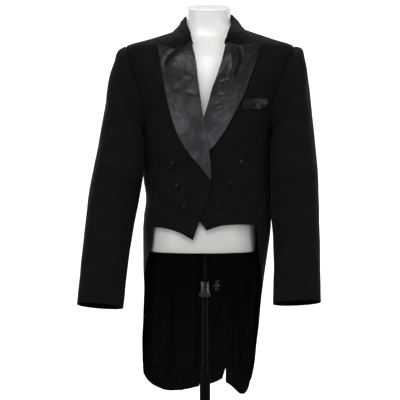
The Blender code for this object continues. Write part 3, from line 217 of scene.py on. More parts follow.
def soft_box(name, place, aim, size, power):
    light = bpy.data.lights.new(name, "AREA")
    light.shape = "RECTANGLE"
    light.size, light.size_y = size
    light.energy = power
    item = bpy.data.objects.new(name, light)
    item.location = place
    item.rotation_euler = (Vector(aim) - Vector(place)).to_track_quat("-Z", "Y").to_euler()
    item.visible_camera = False
    bpy.context.scene.collection.objects.link(item)


for name, place, height, size, power in SOFT_BOXES:
    soft_box(name, place, (0.0, 0.0, height), size, power)

# The stand: a round floor plate, a tube, a clamp with a thumb screw, and the rod that carries the form.
# Turned steel, the tubes and plate painted satin black, the clamp and the screw plated in dark nickel.
# The rod slides in the tube, and the flange on its end is screwed under the form.
HUB_RADIUS = 0.030
HUB_SLOPE = 0.004
PLATE_TOP = 0.012
PLATE_RIM = ((0.012, 0.009), (0.004, 0.0075), (0.0, 0.004))
TUBE_BORE = 0.0105
ROD_TIP_RADIUS = 0.0075
ROD_TIP_EDGE = 0.001
ROD_CLEAR = 0.0092
CLAMP_RADIUS = 0.0190
CLAMP_TOP_RADIUS = 0.0165
CLAMP_TOP_EDGE = 0.003
CLAMP_FOOT_RADIUS = 0.0205
CLAMP_WAIST = 0.0215
CLAMP_FOOT_EDGE = (0.0245, 0.004)
CLAMP_SEAT = 0.0146
CLAMP_CLEAR = 0.0004
FLANGE_RADIUS = 0.0420
FLANGE_EDGE = 0.003
FLANGE_SLOPE = 0.005
SOCKET_RADII = (0.0160, 0.0140)
SOCKET_CLEAR = 0.0003


def black_paint(name, chip_start):
    """Satin black paint, with small chips where hands and the clamp have rubbed it."""
    material, nodes, links, shader = new_finish(name, (0.0025, 0.0025, 0.0028), 0.20, specular=0.05)
    where = nodes.new("ShaderNodeTexCoord")
    speck = noise_of(nodes, links, where.outputs["Object"], 260.0, 4.0)
    flakes = noise_of(nodes, links, where.outputs["Object"], 120.0, 5.0, 1.5)
    dark, bare = (0.0022, 0.0022, 0.0025), (0.14, 0.14, 0.14)
    chip = ramp_of(nodes, links, flakes, dark, bare, chip_start, chip_start + 0.03)
    links.new(chip, shader.inputs["Base Color"])
    rub = noise_of(nodes, links, where.outputs["Object"], 35.0, 5.0, 0.5)
    links.new(grey_ramp(nodes, links, rub, 0.14, 0.30), shader.inputs["Roughness"])
    links.new(bump_of(nodes, links, speck, 0.12, 0.0002), shader.inputs["Normal"])
    return material


def nickel_finish():
    """Dark nickel plate, duller where fingers have rubbed it."""
    colour = (0.045, 0.045, 0.048)
    material, nodes, links, shader = new_finish("dark_nickel", colour, 0.20, metallic=1.0)
    where = nodes.new("ShaderNodeTexCoord")
    rub = noise_of(nodes, links, where.outputs["Object"], 90.0, 5.0, 0.8)
    links.new(grey_ramp(nodes, links, rub, 0.12, 0.30), shader.inputs["Roughness"])
    tone = ramp_of(nodes, links, rub, (0.022, 0.022, 0.024), (0.075, 0.075, 0.079))
    links.new(tone, shader.inputs["Base Color"])
    return material


tube_paint = black_paint("tube_paint", 0.68)
plate_paint = black_paint("plate_paint", 0.78)
dark_nickel = nickel_finish()

_, base_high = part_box("stand_base")
floor_plate = lathe(
    "floor_plate",
    [(0.0, base_high.z), (HUB_RADIUS, base_high.z), (HUB_RADIUS + HUB_SLOPE, PLATE_TOP)]
    + [(base_high.x - inset, height) for inset, height in PLATE_RIM]
    + [(base_high.x, 0.0), (0.0, 0.0)],
    plate_paint,
    steps=128,
    bevel=0.0008,
)
tube_low, tube_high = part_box("stand_tube")
lower_tube = lathe(
    "lower_tube",
    [
        (TUBE_BORE, tube_high.z),
        (tube_high.x, tube_high.z),
        (tube_high.x, tube_low.z),
        (TUBE_BORE, tube_low.z),
    ],
    tube_paint,
    closed=True,
    bevel=0.0004,
)
rod_low, rod_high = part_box("height_rod")
upper_rod = lathe(
    "upper_rod",
    [
        (0.0, rod_high.z),
        (ROD_TIP_RADIUS, rod_high.z),
        (rod_high.x, rod_high.z - ROD_TIP_EDGE),
        (rod_high.x, rod_low.z),
        (0.0, rod_low.z),
    ],
    tube_paint,
    bevel=0.0003,
)
clamp_low, clamp_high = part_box("clamp_collar")
clamp_ring = lathe(
    "clamp_ring",
    [
        (ROD_CLEAR, clamp_high.z),
        (CLAMP_TOP_RADIUS, clamp_high.z),
        (CLAMP_RADIUS, clamp_high.z - CLAMP_TOP_EDGE),
        (CLAMP_RADIUS, clamp_high.z - CLAMP_WAIST),
        (CLAMP_FOOT_RADIUS, clamp_high.z - CLAMP_FOOT_EDGE[0]),
        (CLAMP_FOOT_RADIUS, clamp_low.z + CLAMP_FOOT_EDGE[1]),
        (CLAMP_RADIUS, clamp_low.z),
        (CLAMP_SEAT, clamp_low.z),
        (CLAMP_SEAT, tube_high.z + CLAMP_CLEAR),
        (ROD_CLEAR, tube_high.z + CLAMP_CLEAR),
    ],
    dark_nickel,
    closed=True,
    bevel=0.0005,
)
flange_low, flange_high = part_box("form_flange")
under_flange = lathe(
    "under_flange",
    [
        (0.0, flange_high.z),
        (FLANGE_RADIUS, flange_high.z),
        (FLANGE_RADIUS, flange_high.z - FLANGE_EDGE),
        (SOCKET_RADII[0], flange_high.z - FLANGE_SLOPE),
        (SOCKET_RADII[1], flange_low.z),
        (ROD_CLEAR, flange_low.z),
        (ROD_CLEAR, rod_high.z + SOCKET_CLEAR),
        (0.0, rod_high.z + SOCKET_CLEAR),
    ],
    tube_paint,
    bevel=0.0004,
)
for piece, node, body in (
    (floor_plate, "stand_base", "stand"),
    (lower_tube, "stand_tube", "stand"),
    (clamp_ring, "clamp_collar", "stand"),
    (upper_rod, "height_rod", "rod"),
    (under_flange, "form_flange", "form"),
):
    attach(piece, body)
    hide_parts(node)
thumb_screw = frame["nodes"]["clamp_screw"].data
thumb_screw.materials.clear()
thumb_screw.materials.append(dark_nickel)

# The dress form: a smooth white torso moulded in one shell, with a thin cap on its neck.
# Its gloss is soft, and its colour is painted greyer and duller towards its cut lower edge: painted shade
# from the coat that hangs over it.
# Heights between which the painted shade on the shell's lower part fades out.
PAINTED_SHADE_FULL_AT = 0.90
PAINTED_SHADE_END_AT = 1.30


def shell_finish():
    material, nodes, links, shader = new_finish("white_shell", (0.80, 0.80, 0.79), 0.36)
    where = nodes.new("ShaderNodeTexCoord")
    rise = nodes.new("ShaderNodeSeparateXYZ")
    links.new(where.outputs["Object"], rise.inputs["Vector"])
    level = nodes.new("ShaderNodeMapRange")
    level.inputs["From Min"].default_value = PAINTED_SHADE_FULL_AT
    level.inputs["From Max"].default_value = PAINTED_SHADE_END_AT
    links.new(rise.outputs["Z"], level.inputs["Value"])
    cloud = noise_of(nodes, links, where.outputs["Object"], 9.0, 4.0)
    mix = nodes.new("ShaderNodeMath")
    mix.operation = "MULTIPLY_ADD"
    mix.inputs[1].default_value = 0.16
    links.new(cloud, mix.inputs[0])
    links.new(level.outputs["Result"], mix.inputs[2])
    # Painted shade: low down the shell is painted grey, fading to white higher up, with a little random
    # cloud.
    grey, white = (0.66, 0.645, 0.62), (0.89, 0.885, 0.865)
    tone = ramp_of(nodes, links, mix.outputs["Value"], grey, white, 0.0, 0.8)
    links.new(tone, shader.inputs["Base Color"])
    fine = noise_of(nodes, links, where.outputs["Object"], 420.0, 4.0)
    links.new(grey_ramp(nodes, links, fine, 0.24, 0.32), shader.inputs["Roughness"])
    links.new(bump_of(nodes, links, fine, 0.05, 0.0003), shader.inputs["Normal"])
    return material


def join_up(body):
    """Pairs triangles into quads, so that smoothing runs evenly along the cloth."""
    bmesh.ops.join_triangles(
        body,
        faces=body.faces,
        angle_face_threshold=math.radians(60),
        angle_shape_threshold=math.radians(120),
    )


def merged_copy(node, name, quads=True):
    """A copy of a CAD node with its loose triangles joined up again."""
    shape = frame["nodes"][node].data.copy()
    shape.name = name
    item = bpy.data.objects.new(name, shape)
    bpy.context.scene.collection.objects.link(item)
    shape.materials.clear()
    body = bmesh.new()
    body.from_mesh(shape)
    bmesh.ops.remove_doubles(body, verts=body.verts, dist=0.00002)
    if quads:
        join_up(body)
    body.to_mesh(shape)
    body.free()
    return item


def points_of(item):
    co = np.zeros(len(item.data.vertices) * 3)
    item.data.vertices.foreach_get("co", co)
    return co.reshape(-1, 3)


def smoothed(item, levels, rounds=4):
    """Smooths a mesh, with its points first pushed out, so that the smooth form passes through them."""
    choose(item)
    smooth = item.modifiers.new("smooth", "SUBSURF")
    smooth.levels = smooth.render_levels = levels
    smooth.boundary_smooth = "PRESERVE_CORNERS"
    aim = points_of(item)
    cage = aim.copy()
    for _ in range(rounds):
        made = item.evaluated_get(bpy.context.evaluated_depsgraph_get())
        fine = made.to_mesh()
        now = np.zeros(len(fine.vertices) * 3)
        fine.vertices.foreach_get("co", now)
        now = now.reshape(-1, 3)[: len(aim)]
        made.to_mesh_clear()
        push = aim - now
        size = np.linalg.norm(push, axis=1, keepdims=True)
        cage += push * np.minimum(1.0, 0.003 / np.maximum(size, 1e-9))
        item.data.vertices.foreach_set("co", cage.ravel())
        item.data.update()
    bpy.ops.object.modifier_apply(modifier="smooth")
    bpy.ops.object.shade_smooth()


def keep_sharp_rims(item, angle):
    """Edges between faces that meet at more than the angle stay crisp when the shape is smoothed."""
    body = bmesh.new()
    body.from_mesh(item.data)
    crease = body.edges.layers.float.get("crease_edge") or body.edges.layers.float.new("crease_edge")
    for edge in body.edges:
        if len(edge.link_faces) == 2 and edge.calc_face_angle(0.0) > angle:
            edge[crease] = 0.9
    body.to_mesh(item.data)
    body.free()


white_shell = shell_finish()
for node, name, rim in (("dress_form", "form_shell", 50), ("neck_cap", "neck_lid", 40)):
    piece = merged_copy(node, name)
    keep_sharp_rims(piece, math.radians(rim))
    smoothed(piece, 3, rounds=0)
    piece.data.materials.append(white_shell)
    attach(piece, "form")
    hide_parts(node)

# The wool body: fronts, side bodies, backs and skirts of black worsted, sewn edge to edge.
# Each is a thin wall on its solid's form; creases are pulled into it, and edges are pressed soft.
# A seam's allowance is turned under the neighbour that it is sewn to.
WOOL_WALL = 0.0016
SIDE_ANGLE = math.radians(35)
RIM_WIDTH = 0.0020
CORNER_LIMIT = -0.88
BODY_MIDDLE = (0.005, 0.010)
BODY_RADIUS = 0.15
BODY_LAP = BODY_RADIUS * 2 * math.pi
STILL_CLEAR = 1.395
STILL_BAND = 0.03
# Size and depth of a ripple, and a number that shifts it.
BODY_RIPPLE = (0.055, 0.0010, 3.0)
# How close an edge lies to the neighbour that it is sewn to.
COLLAR_NEAR = 0.0045
PANEL_NEAR = 0.0015
WAIST_NEAR = 0.003
WAIST_FROM = 0.90


def wool_finish():
    """Black worsted: a fine diagonal twill with a nap, cloudy from wear, and a little lint."""
    colour = (0.0065, 0.0066, 0.0075)
    material, nodes, links, shader = new_finish("black_worsted", colour, 0.85, specular=0.10)
    where = nodes.new("ShaderNodeTexCoord")
    twill = nodes.new("ShaderNodeTexWave")
    twill.wave_type = "BANDS"
    twill.bands_direction = "DIAGONAL"
    twill.inputs["Scale"].default_value = 520.0
    twill.inputs["Distortion"].default_value = 0.6
    twill.inputs["Detail"].default_value = 1.0
    links.new(where.outputs["UV"], twill.inputs["Vector"])
    yarn = noise_of(nodes, links, where.outputs["UV"], 1500.0, 2.0)
    cloud = noise_of(nodes, links, where.outputs["UV"], 28.0, 4.0, 0.4)
    tone = ramp_of(nodes, links, cloud, (0.0030, 0.0030, 0.0034), (0.0052, 0.0052, 0.0058))
    lint = noise_of(nodes, links, where.outputs["UV"], 700.0, 2.0)
    speck = ramp_of(nodes, links, lint, (0.0, 0.0, 0.0), (0.010, 0.010, 0.011), 0.70, 0.82)
    both = nodes.new("ShaderNodeMix")
    both.data_type = "RGBA"
    both.blend_type = "ADD"
    both.inputs[0].default_value = 1.0
    links.new(tone, both.inputs[6])
    links.new(speck, both.inputs[7])
    links.new(both.outputs[2], shader.inputs["Base Color"])
    nap = bump_of(nodes, links, yarn, 0.35, 0.00025)
    links.new(bump_of(nodes, links, twill.outputs["Fac"], 0.35, 0.00018, nap), shader.inputs["Normal"])
    shader.inputs["Sheen Weight"].default_value = 0.02
    shader.inputs["Sheen Roughness"].default_value = 0.5
    return material


def lining_finish():
    """Thin black twill with a faint ripple."""
    colour = (0.0018, 0.0019, 0.0021)
    material, nodes, links, shader = new_finish("black_twill_lining", colour, 0.55, specular=0.06)
    where = nodes.new("ShaderNodeTexCoord")
    ribs = nodes.new("ShaderNodeTexWave")
    ribs.bands_direction = "DIAGONAL"
    ribs.inputs["Scale"].default_value = 700.0
    ribs.inputs["Distortion"].default_value = 0.3
    links.new(where.outputs["UV"], ribs.inputs["Vector"])
    ripple = noise_of(nodes, links, where.outputs["UV"], 26.0, 3.0, 0.6)
    tone = ramp_of(nodes, links, ripple, (0.0012, 0.0013, 0.0014), (0.0024, 0.0025, 0.0027))
    links.new(tone, shader.inputs["Base Color"])
    soft = bump_of(nodes, links, ripple, 0.35, 0.004)
    links.new(bump_of(nodes, links, ribs.outputs["Fac"], 0.2, 0.0001, soft), shader.inputs["Normal"])
    return material


wool = wool_finish()
lining_cloth = lining_finish()


def around_body(points):
    """Unrolls the body: how far round from the centre front, positive to the left, and the height."""
    turn = np.arctan2(points[:, 0] - BODY_MIDDLE[0], BODY_MIDDLE[1] - points[:, 1])
    return np.stack([turn * BODY_RADIUS, points[:, 2]], axis=1)


def crease_lift(flat, creases, lap=BODY_LAP):
    """Height of the listed creases, each of which runs in a bow and fades at its ends."""
    lift = np.zeros(len(flat))
    for from_u, from_v, to_u, to_v, width, depth, bow in creases:
        along = np.array((to_u - from_u, to_v - from_v))
        length = np.linalg.norm(along)
        along /= length
        side = np.array((-along[1], along[0]))
        apart = flat - np.array((from_u, from_v))
        apart[:, 0] = (apart[:, 0] + lap / 2) % lap - lap / 2
        t = apart @ along / length
        off = apart @ side - bow * np.sin(np.clip(t, 0, 1) * math.pi)
        fade = np.clip(1 - np.abs(2 * t - 1) ** 3, 0, 1)
        inside = (t > 0) & (t < 1)
        lift += np.where(inside, depth * fade * np.exp(-((off / width) ** 2)), 0.0)
    return lift


def wrinkle(points, size, depth, seed):
    """A low uneven ripple that no cloth is free of."""
    return np.array([depth * noise.noise(Vector(p) / size + Vector((seed, 0, 0))) for p in points])


def patches(faces, limit):
    """Faces in groups that hang together over edges that turn less than the limit."""
    groups, seen = [], set()
    for face in faces:
        if face in seen:
            continue
        group, waiting = [], [face]
        seen.add(face)
        while waiting:
            one = waiting.pop()
            group.append(one)
            for edge in one.edges:
                if edge.is_boundary or edge.calc_face_angle(0.0) > limit:
                    continue
                for other in edge.link_faces:
                    if other not in seen:
                        seen.add(other)
                        waiting.append(other)
        groups.append(group)
    return sorted(groups, key=lambda group: -sum(face.calc_area() for face in group))


def narrowness(face):
    """The height of a triangle over its longest edge."""
    return 2 * face.calc_area() / max(edge.calc_length() for edge in face.edges)


def outer_sheet(item, outward):
    """Keeps only the outer side of a wall: its narrow rims go, then the side that faces inwards."""
    body = bmesh.new()
    body.from_mesh(item.data)
    rims = []
    for group in patches(body.faces, SIDE_ANGLE):
        if sorted(narrowness(face) for face in group)[len(group) // 2] < RIM_WIDTH:
            rims += group
    bmesh.ops.delete(body, geom=rims, context="FACES")
    groups = patches(body.faces, math.pi)

    def facing_out(group):
        return sum(f.calc_area() * f.normal.dot(outward(f.calc_center_median())) for f in group)

    best = max(groups[:2], key=facing_out)
    spare = [face for group in groups if group is not best for face in group]
    bmesh.ops.delete(body, geom=spare, context="FACES")
    bmesh.ops.delete(body, geom=[v for v in body.verts if not v.link_faces], context="VERTS")
    bmesh.ops.holes_fill(body, edges=[e for e in body.edges if e.is_boundary], sides=4)
    join_up(body)
    corner = body.verts.layers.float.new("crease_vert")
    for vert in body.verts:
        ends = [e.other_vert(vert) for e in vert.link_edges if e.is_boundary]
        if len(ends) == 2:
            one, two = ((end.co - vert.co).normalized() for end in ends)
            if one.dot(two) > CORNER_LIMIT:
                vert[corner] = 1.0
    body.to_mesh(item.data)
    body.free()


def from_axis(centre):
    """The way straight out from the middle of the body."""
    return Vector((centre.x - BODY_MIDDLE[0], centre.y - BODY_MIDDLE[1], 0.0)).normalized()


def sheet_from(node, name, outward, levels=3):
    """One smooth sheet on the outer side of a CAD node."""
    item = merged_copy(node, name, quads=False)
    outer_sheet(item, outward)
    smoothed(item, levels)
    return item


def normals_of(item):
    co = np.zeros(len(item.data.vertices) * 3)
    item.data.vertices.foreach_get("normal", co)
    return co.reshape(-1, 3)


def move_out(item, lift):
    """Moves each point of a sheet along its normal."""
    moved = points_of(item) + normals_of(item) * lift[:, None]
    item.data.vertices.foreach_set("co", moved.ravel())
    item.data.update()


def tree_of(*items):
    """The surfaces of several pieces together, to measure from."""
    spots, faces = [], []
    for item in items:
        start = len(spots)
        spots += [v.co.copy() for v in item.data.vertices]
        faces += [tuple(start + k for k in p.vertices) for p in item.data.polygons]
    return BVHTree.FromPolygons(spots, faces)


def off_seam(item, ground, near):
    """How far each point of a sheet is from the edge that is sewn to the ground."""
    ends = {}
    for face in item.data.polygons:
        for key in face.edge_keys:
            ends[key] = ends.get(key, 0) + 1
    edge_points = {k for key, count in ends.items() if count == 1 for k in key}
    places = points_of(item)
    sewn = [k for k in edge_points if ground.find_nearest(Vector(places[k]), near)[0] is not None]
    tree = KDTree(len(sewn))
    for n, k in enumerate(sewn):
        tree.insert(Vector(places[k]), n)
    tree.balance()
    return np.array([tree.find(Vector(p))[2] for p in places])


def is_sewn(edge, ground, near, above):
    """Whether an edge of a sheet lies close to what it is sewn to, and higher than a given height."""
    return edge.is_boundary and all(
        v.co.z > above and ground.find_nearest(v.co, near)[0] is not None for v in edge.verts
    )


def turn_under(item, ground, near, reach=0.006, drop=0.0024, above=0.0):
    """Carries on each edge that is sewn to a neighbour as a seam allowance, pressed in under it."""
    body = bmesh.new()
    body.from_mesh(item.data)
    body.normal_update()
    sewn = [edge for edge in body.edges if is_sewn(edge, ground, near, above)]
    away = {}
    for edge in sewn:
        face = edge.link_faces[0]
        along = (edge.verts[1].co - edge.verts[0].co).normalized()
        out = along.cross(face.normal).normalized()
        if out.dot(face.calc_center_median() - edge.verts[0].co) > 0:
            out.negate()
        for vert in edge.verts:
            away.setdefault(vert, []).append((out, face.normal.copy()))
    for share, fall in ((0.35, 1.0), (0.65, 0.15)):
        made = bmesh.ops.extrude_edge_only(body, edges=sewn)["geom"]
        fresh = [g for g in made if isinstance(g, bmesh.types.BMVert)]
        fresh_edges = [g for g in made if isinstance(g, bmesh.types.BMEdge)]
        sewn = [edge for edge in fresh_edges if all(v in fresh for v in edge.verts)]
        carried = {}
        for vert in fresh:
            start = next(e.other_vert(vert) for e in vert.link_edges if e.other_vert(vert) in away)
            out = sum((o for o, _ in away[start]), Vector()).normalized()
            normal = sum((n for _, n in away[start]), Vector()).normalized()
            vert.co = start.co + out * (reach * share) - normal * (drop * fall)
            carried[vert] = away[start]
        away = carried
    body.to_mesh(item.data)
    body.free()


def lay_weave(item, unrolled):
    """A UV map in metres, so that the weave follows the cloth."""
    layer = item.data.uv_layers.new(name="weave")
    places = unrolled(points_of(item))
    index = np.zeros(len(item.data.loops), int)
    item.data.loops.foreach_get("vertex_index", index)
    layer.data.foreach_set("uv", places[index].ravel())


def thicken(item, wall, face, inside, rim=0.0004):
    """Gives the sheet its thickness inwards, a cloth for each side, and rounded edges."""
    item.data.materials.append(face)
    item.data.materials.append(inside)
    choose(item)
    body = item.modifiers.new("wall", "SOLIDIFY")
    body.thickness = wall
    body.offset = -1.0
    body.material_offset = 1
    bpy.ops.object.modifier_apply(modifier="wall")
    soften = item.modifiers.new("soften", "BEVEL")
    soften.width = rim
    soften.segments = 2
    soften.limit_method = "ANGLE"
    soften.angle_limit = math.radians(50)
    bpy.ops.object.modifier_apply(modifier="soften")
    bpy.ops.object.shade_smooth_by_angle(angle=math.radians(60))


# Creases of the body: from (round, height) to (round, height), half width, depth, bow.
BODY_CREASES = (
    (-0.262, 1.040, -0.262, 1.250, 0.026, 0.0038, 0.0),
    (0.262, 0.950, 0.262, 1.250, 0.026, 0.0038, 0.0),
    (-0.045, 1.015, -0.150, 1.060, 0.013, 0.0030, 0.006),
    (-0.070, 0.985, -0.165, 1.005, 0.011, 0.0026, -0.004),
    (-0.100, 1.090, -0.190, 1.150, 0.012, -0.0024, 0.004),
    (0.060, 1.005, 0.160, 1.045, 0.012, 0.0028, -0.006),
    (0.080, 1.045, 0.185, 1.105, 0.013, 0.0030, 0.005),
    (0.095, 1.120, 0.190, 1.180, 0.011, -0.0024, -0.004),
    (-0.118, 1.215, -0.150, 1.330, 0.011, 0.0024, 0.004),
    (0.122, 1.210, 0.155, 1.320, 0.011, 0.0026, -0.004),
    (-0.060, 1.300, -0.140, 1.345, 0.016, 0.0016, 0.008),
    (0.070, 1.310, 0.145, 1.350, 0.016, 0.0018, -0.008),
    (-0.240, 0.985, -0.330, 1.035, 0.012, 0.0028, 0.006),
    (-0.250, 1.060, -0.350, 1.120, 0.014, 0.0030, -0.006),
    (0.235, 0.990, 0.340, 1.050, 0.013, 0.0030, -0.006),
    (0.260, 1.075, 0.350, 1.130, 0.012, 0.0026, 0.006),
    (-0.360, 1.180, -0.300, 1.330, 0.018, -0.0026, 0.008),
    (0.360, 1.190, 0.305, 1.330, 0.016, -0.0024, -0.008),
    (-0.400, 1.380, -0.460, 1.420, 0.016, 0.0022, 0.004),
    (0.395, 1.385, 0.455, 1.425, 0.014, 0.0020, -0.004),
    (-0.300, 0.580, -0.290, 0.900, 0.016, 0.0050, 0.006),
    (-0.345, 0.560, -0.350, 0.830, 0.013, -0.0042, -0.005),
    (-0.385, 0.540, -0.395, 0.760, 0.014, 0.0040, 0.004),
    (0.295, 0.560, 0.285, 0.880, 0.016, 0.0050, -0.006),
    (0.340, 0.550, 0.345, 0.790, 0.012, -0.0040, 0.005),
    (0.380, 0.540, 0.385, 0.720, 0.013, 0.0036, -0.004),
    (-0.430, 0.520, -0.440, 0.800, 0.013, 0.0030, 0.003),
    (0.435, 0.540, 0.445, 0.780, 0.012, -0.0028, -0.003),
)


def body_lift(points):
    """Creases of the body; over the shoulders the cloth lies close on the form, so there it only rises."""
    lift = crease_lift(around_body(points), BODY_CREASES) + wrinkle(points, *BODY_RIPPLE)
    near = np.clip((points[:, 2] - STILL_CLEAR) / STILL_BAND, 0, 1)
    return lift * (1 - near) + np.maximum(lift, 0.0) * near * 0.6


def wool_panel(node, name):
    piece = sheet_from(node, name, from_axis)
    lay_weave(piece, around_body)
    move_out(piece, body_lift(points_of(piece)))
    if node.startswith("front"):
        turn_under(piece, tree_of(collar), COLLAR_NEAR, reach=0.004, drop=0.0022)
    if node.startswith("side_body"):
        turn_under(piece, tree_of(*panels.values()), PANEL_NEAR)
    if node.startswith("skirt"):
        turn_under(piece, tree_of(*panels.values()), WAIST_NEAR, reach=0.008, above=WAIST_FROM)
    thicken(piece, WOOL_WALL, wool, lining_cloth)
    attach(piece, "form")
    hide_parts(node)
    return piece


# The collar: a band of worsted that stands round the neck and turns over onto the shoulders.
# It is one cloth folded along its top, so it is smoothed whole.
# Its leaf is pressed down on the shoulders, but for its front ends, which stand as they are.
PRESS = 0.65
PRESS_FROM = 0.006
PRESS_BAND = 0.010
ENDS_FROM = 0.048
ENDS_BAND = 0.015

shoulder_parts = [part + side for part in ("front_", "back_") for side in ("right", "left")]
shoulders = tree_of(*(frame["nodes"][node] for node in shoulder_parts))
collar = merged_copy("collar", "coat_collar")
keep_sharp_rims(collar, math.radians(65))
smoothed(collar, 2)
places = points_of(collar)
for k, place in enumerate(places):
    spot, normal, _, apart = shoulders.find_nearest(Vector(place))
    above = (Vector(place) - spot).dot(normal)
    if above > 0.8 * apart:
        press = PRESS - PRESS * min(max((apart - PRESS_FROM) / PRESS_BAND, 0.0), 1.0)
        if place[1] < 0:
            off_middle = abs(place[0] - BODY_MIDDLE[0])
            press *= min(max((off_middle - ENDS_FROM) / ENDS_BAND, 0.0), 1.0)
        places[k] = place - np.array(normal) * above * press
collar.data.vertices.foreach_set("co", places.ravel())
collar.data.update()
lay_weave(collar, around_body)
collar.data.materials.append(wool)
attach(collar, "form")
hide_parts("collar")

# The four panels of each side, in the order they are sewn: front, back, side body, skirt.
# The allowances of the side body and the skirt go under their neighbours, the front's under the collar.
# Each row: part, name, flat size, area, what it rests on, how it is held.
PANEL_ROWS = (
    ("front_", "forepart_", (0.36, 0.56), 0.118, "form_shell", "draped"),
    ("back_", "backpart_", (0.25, 1.00), 0.109, "form_shell", "draped"),
    ("side_body_", "sidebody_", (0.16, 0.33), 0.033, "form_shell", "draped"),
    ("skirt_", "tailskirt_", (0.26, 0.49), 0.073, "sidebody_", "hung"),
)
panels = {}
for side in ("right", "left"):
    for part, name, flat, area, rests, held in PANEL_ROWS:
        panels[part + side] = wool_panel(part + side, name + side)

# The tail linings: black twill lining that covers the inside of each tail, felled a little above its hem.
# It hangs just clear of the wool and takes the same long folds.
LINING_WALL = 0.0009
LINING_SINK = 0.0004

for side in ("right", "left"):
    piece = sheet_from("tail_lining_" + side, "lining_" + side, from_axis)
    lay_weave(piece, around_body)
    move_out(piece, body_lift(points_of(piece)) - LINING_SINK)
    thicken(piece, LINING_WALL, lining_cloth, lining_cloth, 0.0002)
    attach(piece, "form")
    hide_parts("tail_lining_" + side)

# The sleeves: a top and an under sleeve of the same worsted, sewn into a tube and set into the armhole.
# They hang from a full head, bend a little at the elbow, and crease across the forearm.
# SLEEVE_AXES holds the middle of each sleeve, from its head down to its cuff.
SLEEVE_AXES = {
    "right": (
        (-0.170, 0.004, 1.42),
        (-0.209, -0.016, 1.24),
        (-0.222, -0.020, 1.10),
        (-0.247, -0.020, 0.96),
        (-0.268, -0.058, 0.757),
    ),
    "left": (
        (0.190, 0.004, 1.42),
        (0.221, -0.016, 1.24),
        (0.229, -0.022, 1.10),
        (0.234, -0.024, 0.96),
        (0.2355, -0.060, 0.765),
    ),
}
SLEEVE_RADIUS = 0.056
SLEEVE_LAP = SLEEVE_RADIUS * 2 * math.pi
HEAD_FROM = 1.33
HEAD_BAND = 0.06
HEAD_ROLL = 0.0026
ROLL_WIDTH = 0.018
STILL_SEAM = 0.030
SLEEVE_RIPPLE = (0.05, 0.0012, 9.0)
ARMHOLE_NEAR = 0.004
SLEEVE_SEAM_NEAR = 0.0022


def sleeve_middle(side, heights):
    """Where the middle of a sleeve lies, seen from above, at each height."""
    axis = np.array(SLEEVE_AXES[side])[::-1]
    across = np.interp(heights, axis[:, 2], axis[:, 0])
    ahead = np.interp(heights, axis[:, 2], axis[:, 1])
    return np.stack([across, ahead], axis=1)


def around_sleeve(side):
    """Unrolls a sleeve: 0 faces outwards, a quarter turn on faces the front."""
    sign = -1 if side == "right" else 1

    def unrolled(points):
        middle = sleeve_middle(side, points[:, 2])
        out = (points[:, 0] - middle[:, 0]) * sign
        ahead = middle[:, 1] - points[:, 1]
        return np.stack([np.arctan2(ahead, out) * SLEEVE_RADIUS, points[:, 2]], axis=1)

    return unrolled


# Sleeve creases: from (round, height) to (round, height), half width, depth, bow.
SLEEVE_CREASES = {
    "right": (
        (0.126, 1.250, 0.126, 1.045, 0.024, 0.0115, 0.0),
        (0.034, 1.120, 0.150, 1.085, 0.012, 0.0052, 0.010),
        (0.036, 1.085, 0.155, 1.040, 0.010, -0.0040, 0.008),
        (0.030, 1.052, 0.140, 1.010, 0.012, 0.0050, -0.008),
        (0.040, 1.000, 0.160, 0.955, 0.011, 0.0040, 0.006),
        (0.030, 0.950, 0.125, 0.915, 0.012, -0.0032, 0.008),
        (0.030, 0.900, 0.150, 0.860, 0.012, 0.0034, -0.006),
        (0.055, 1.200, 0.165, 1.150, 0.012, 0.0040, 0.010),
        (0.060, 1.290, 0.150, 1.215, 0.013, 0.0036, 0.008),
        (0.020, 1.390, 0.060, 1.250, 0.014, 0.0034, -0.006),
        (-0.020, 1.385, -0.040, 1.230, 0.013, 0.0030, 0.006),
        (-0.060, 1.300, -0.150, 1.220, 0.014, 0.0038, 0.008),
        (-0.052, 1.130, -0.160, 1.080, 0.013, 0.0046, -0.008),
        (-0.050, 1.060, -0.150, 1.030, 0.012, -0.0036, 0.006),
        (-0.050, 0.980, -0.150, 0.940, 0.012, 0.0036, 0.008),
        (-0.030, 0.880, -0.130, 0.850, 0.011, 0.0028, -0.006),
    ),
    "left": (
        (0.126, 1.250, 0.126, 0.935, 0.024, 0.0120, 0.0),
        (0.034, 1.135, 0.150, 1.100, 0.012, 0.0050, -0.008),
        (0.036, 1.095, 0.150, 1.060, 0.010, -0.0040, -0.008),
        (0.032, 1.060, 0.145, 1.030, 0.012, 0.0048, 0.008),
        (0.030, 1.010, 0.155, 0.985, 0.011, 0.0036, -0.006),
        (0.030, 0.955, 0.130, 0.930, 0.012, -0.0030, -0.006),
        (0.020, 0.880, 0.140, 0.850, 0.013, 0.0030, 0.006),
        (0.050, 1.230, 0.160, 1.170, 0.013, 0.0042, -0.008),
        (0.060, 1.310, 0.150, 1.240, 0.013, 0.0034, 0.008),
        (0.025, 1.395, 0.070, 1.260, 0.014, 0.0034, 0.006),
        (-0.020, 1.390, -0.050, 1.240, 0.013, 0.0030, -0.006),
        (-0.050, 1.290, -0.150, 1.230, 0.014, 0.0036, 0.008),
        (-0.052, 1.120, -0.160, 1.070, 0.013, 0.0046, 0.008),
        (-0.050, 1.050, -0.150, 1.010, 0.012, -0.0036, -0.006),
        (-0.050, 0.960, -0.150, 0.930, 0.012, 0.0034, 0.006),
        (-0.030, 0.860, -0.130, 0.830, 0.011, 0.0028, -0.006),
    ),
}
body_ground = tree_of(*(panels[key] for key in panels if not key.startswith("skirt")))
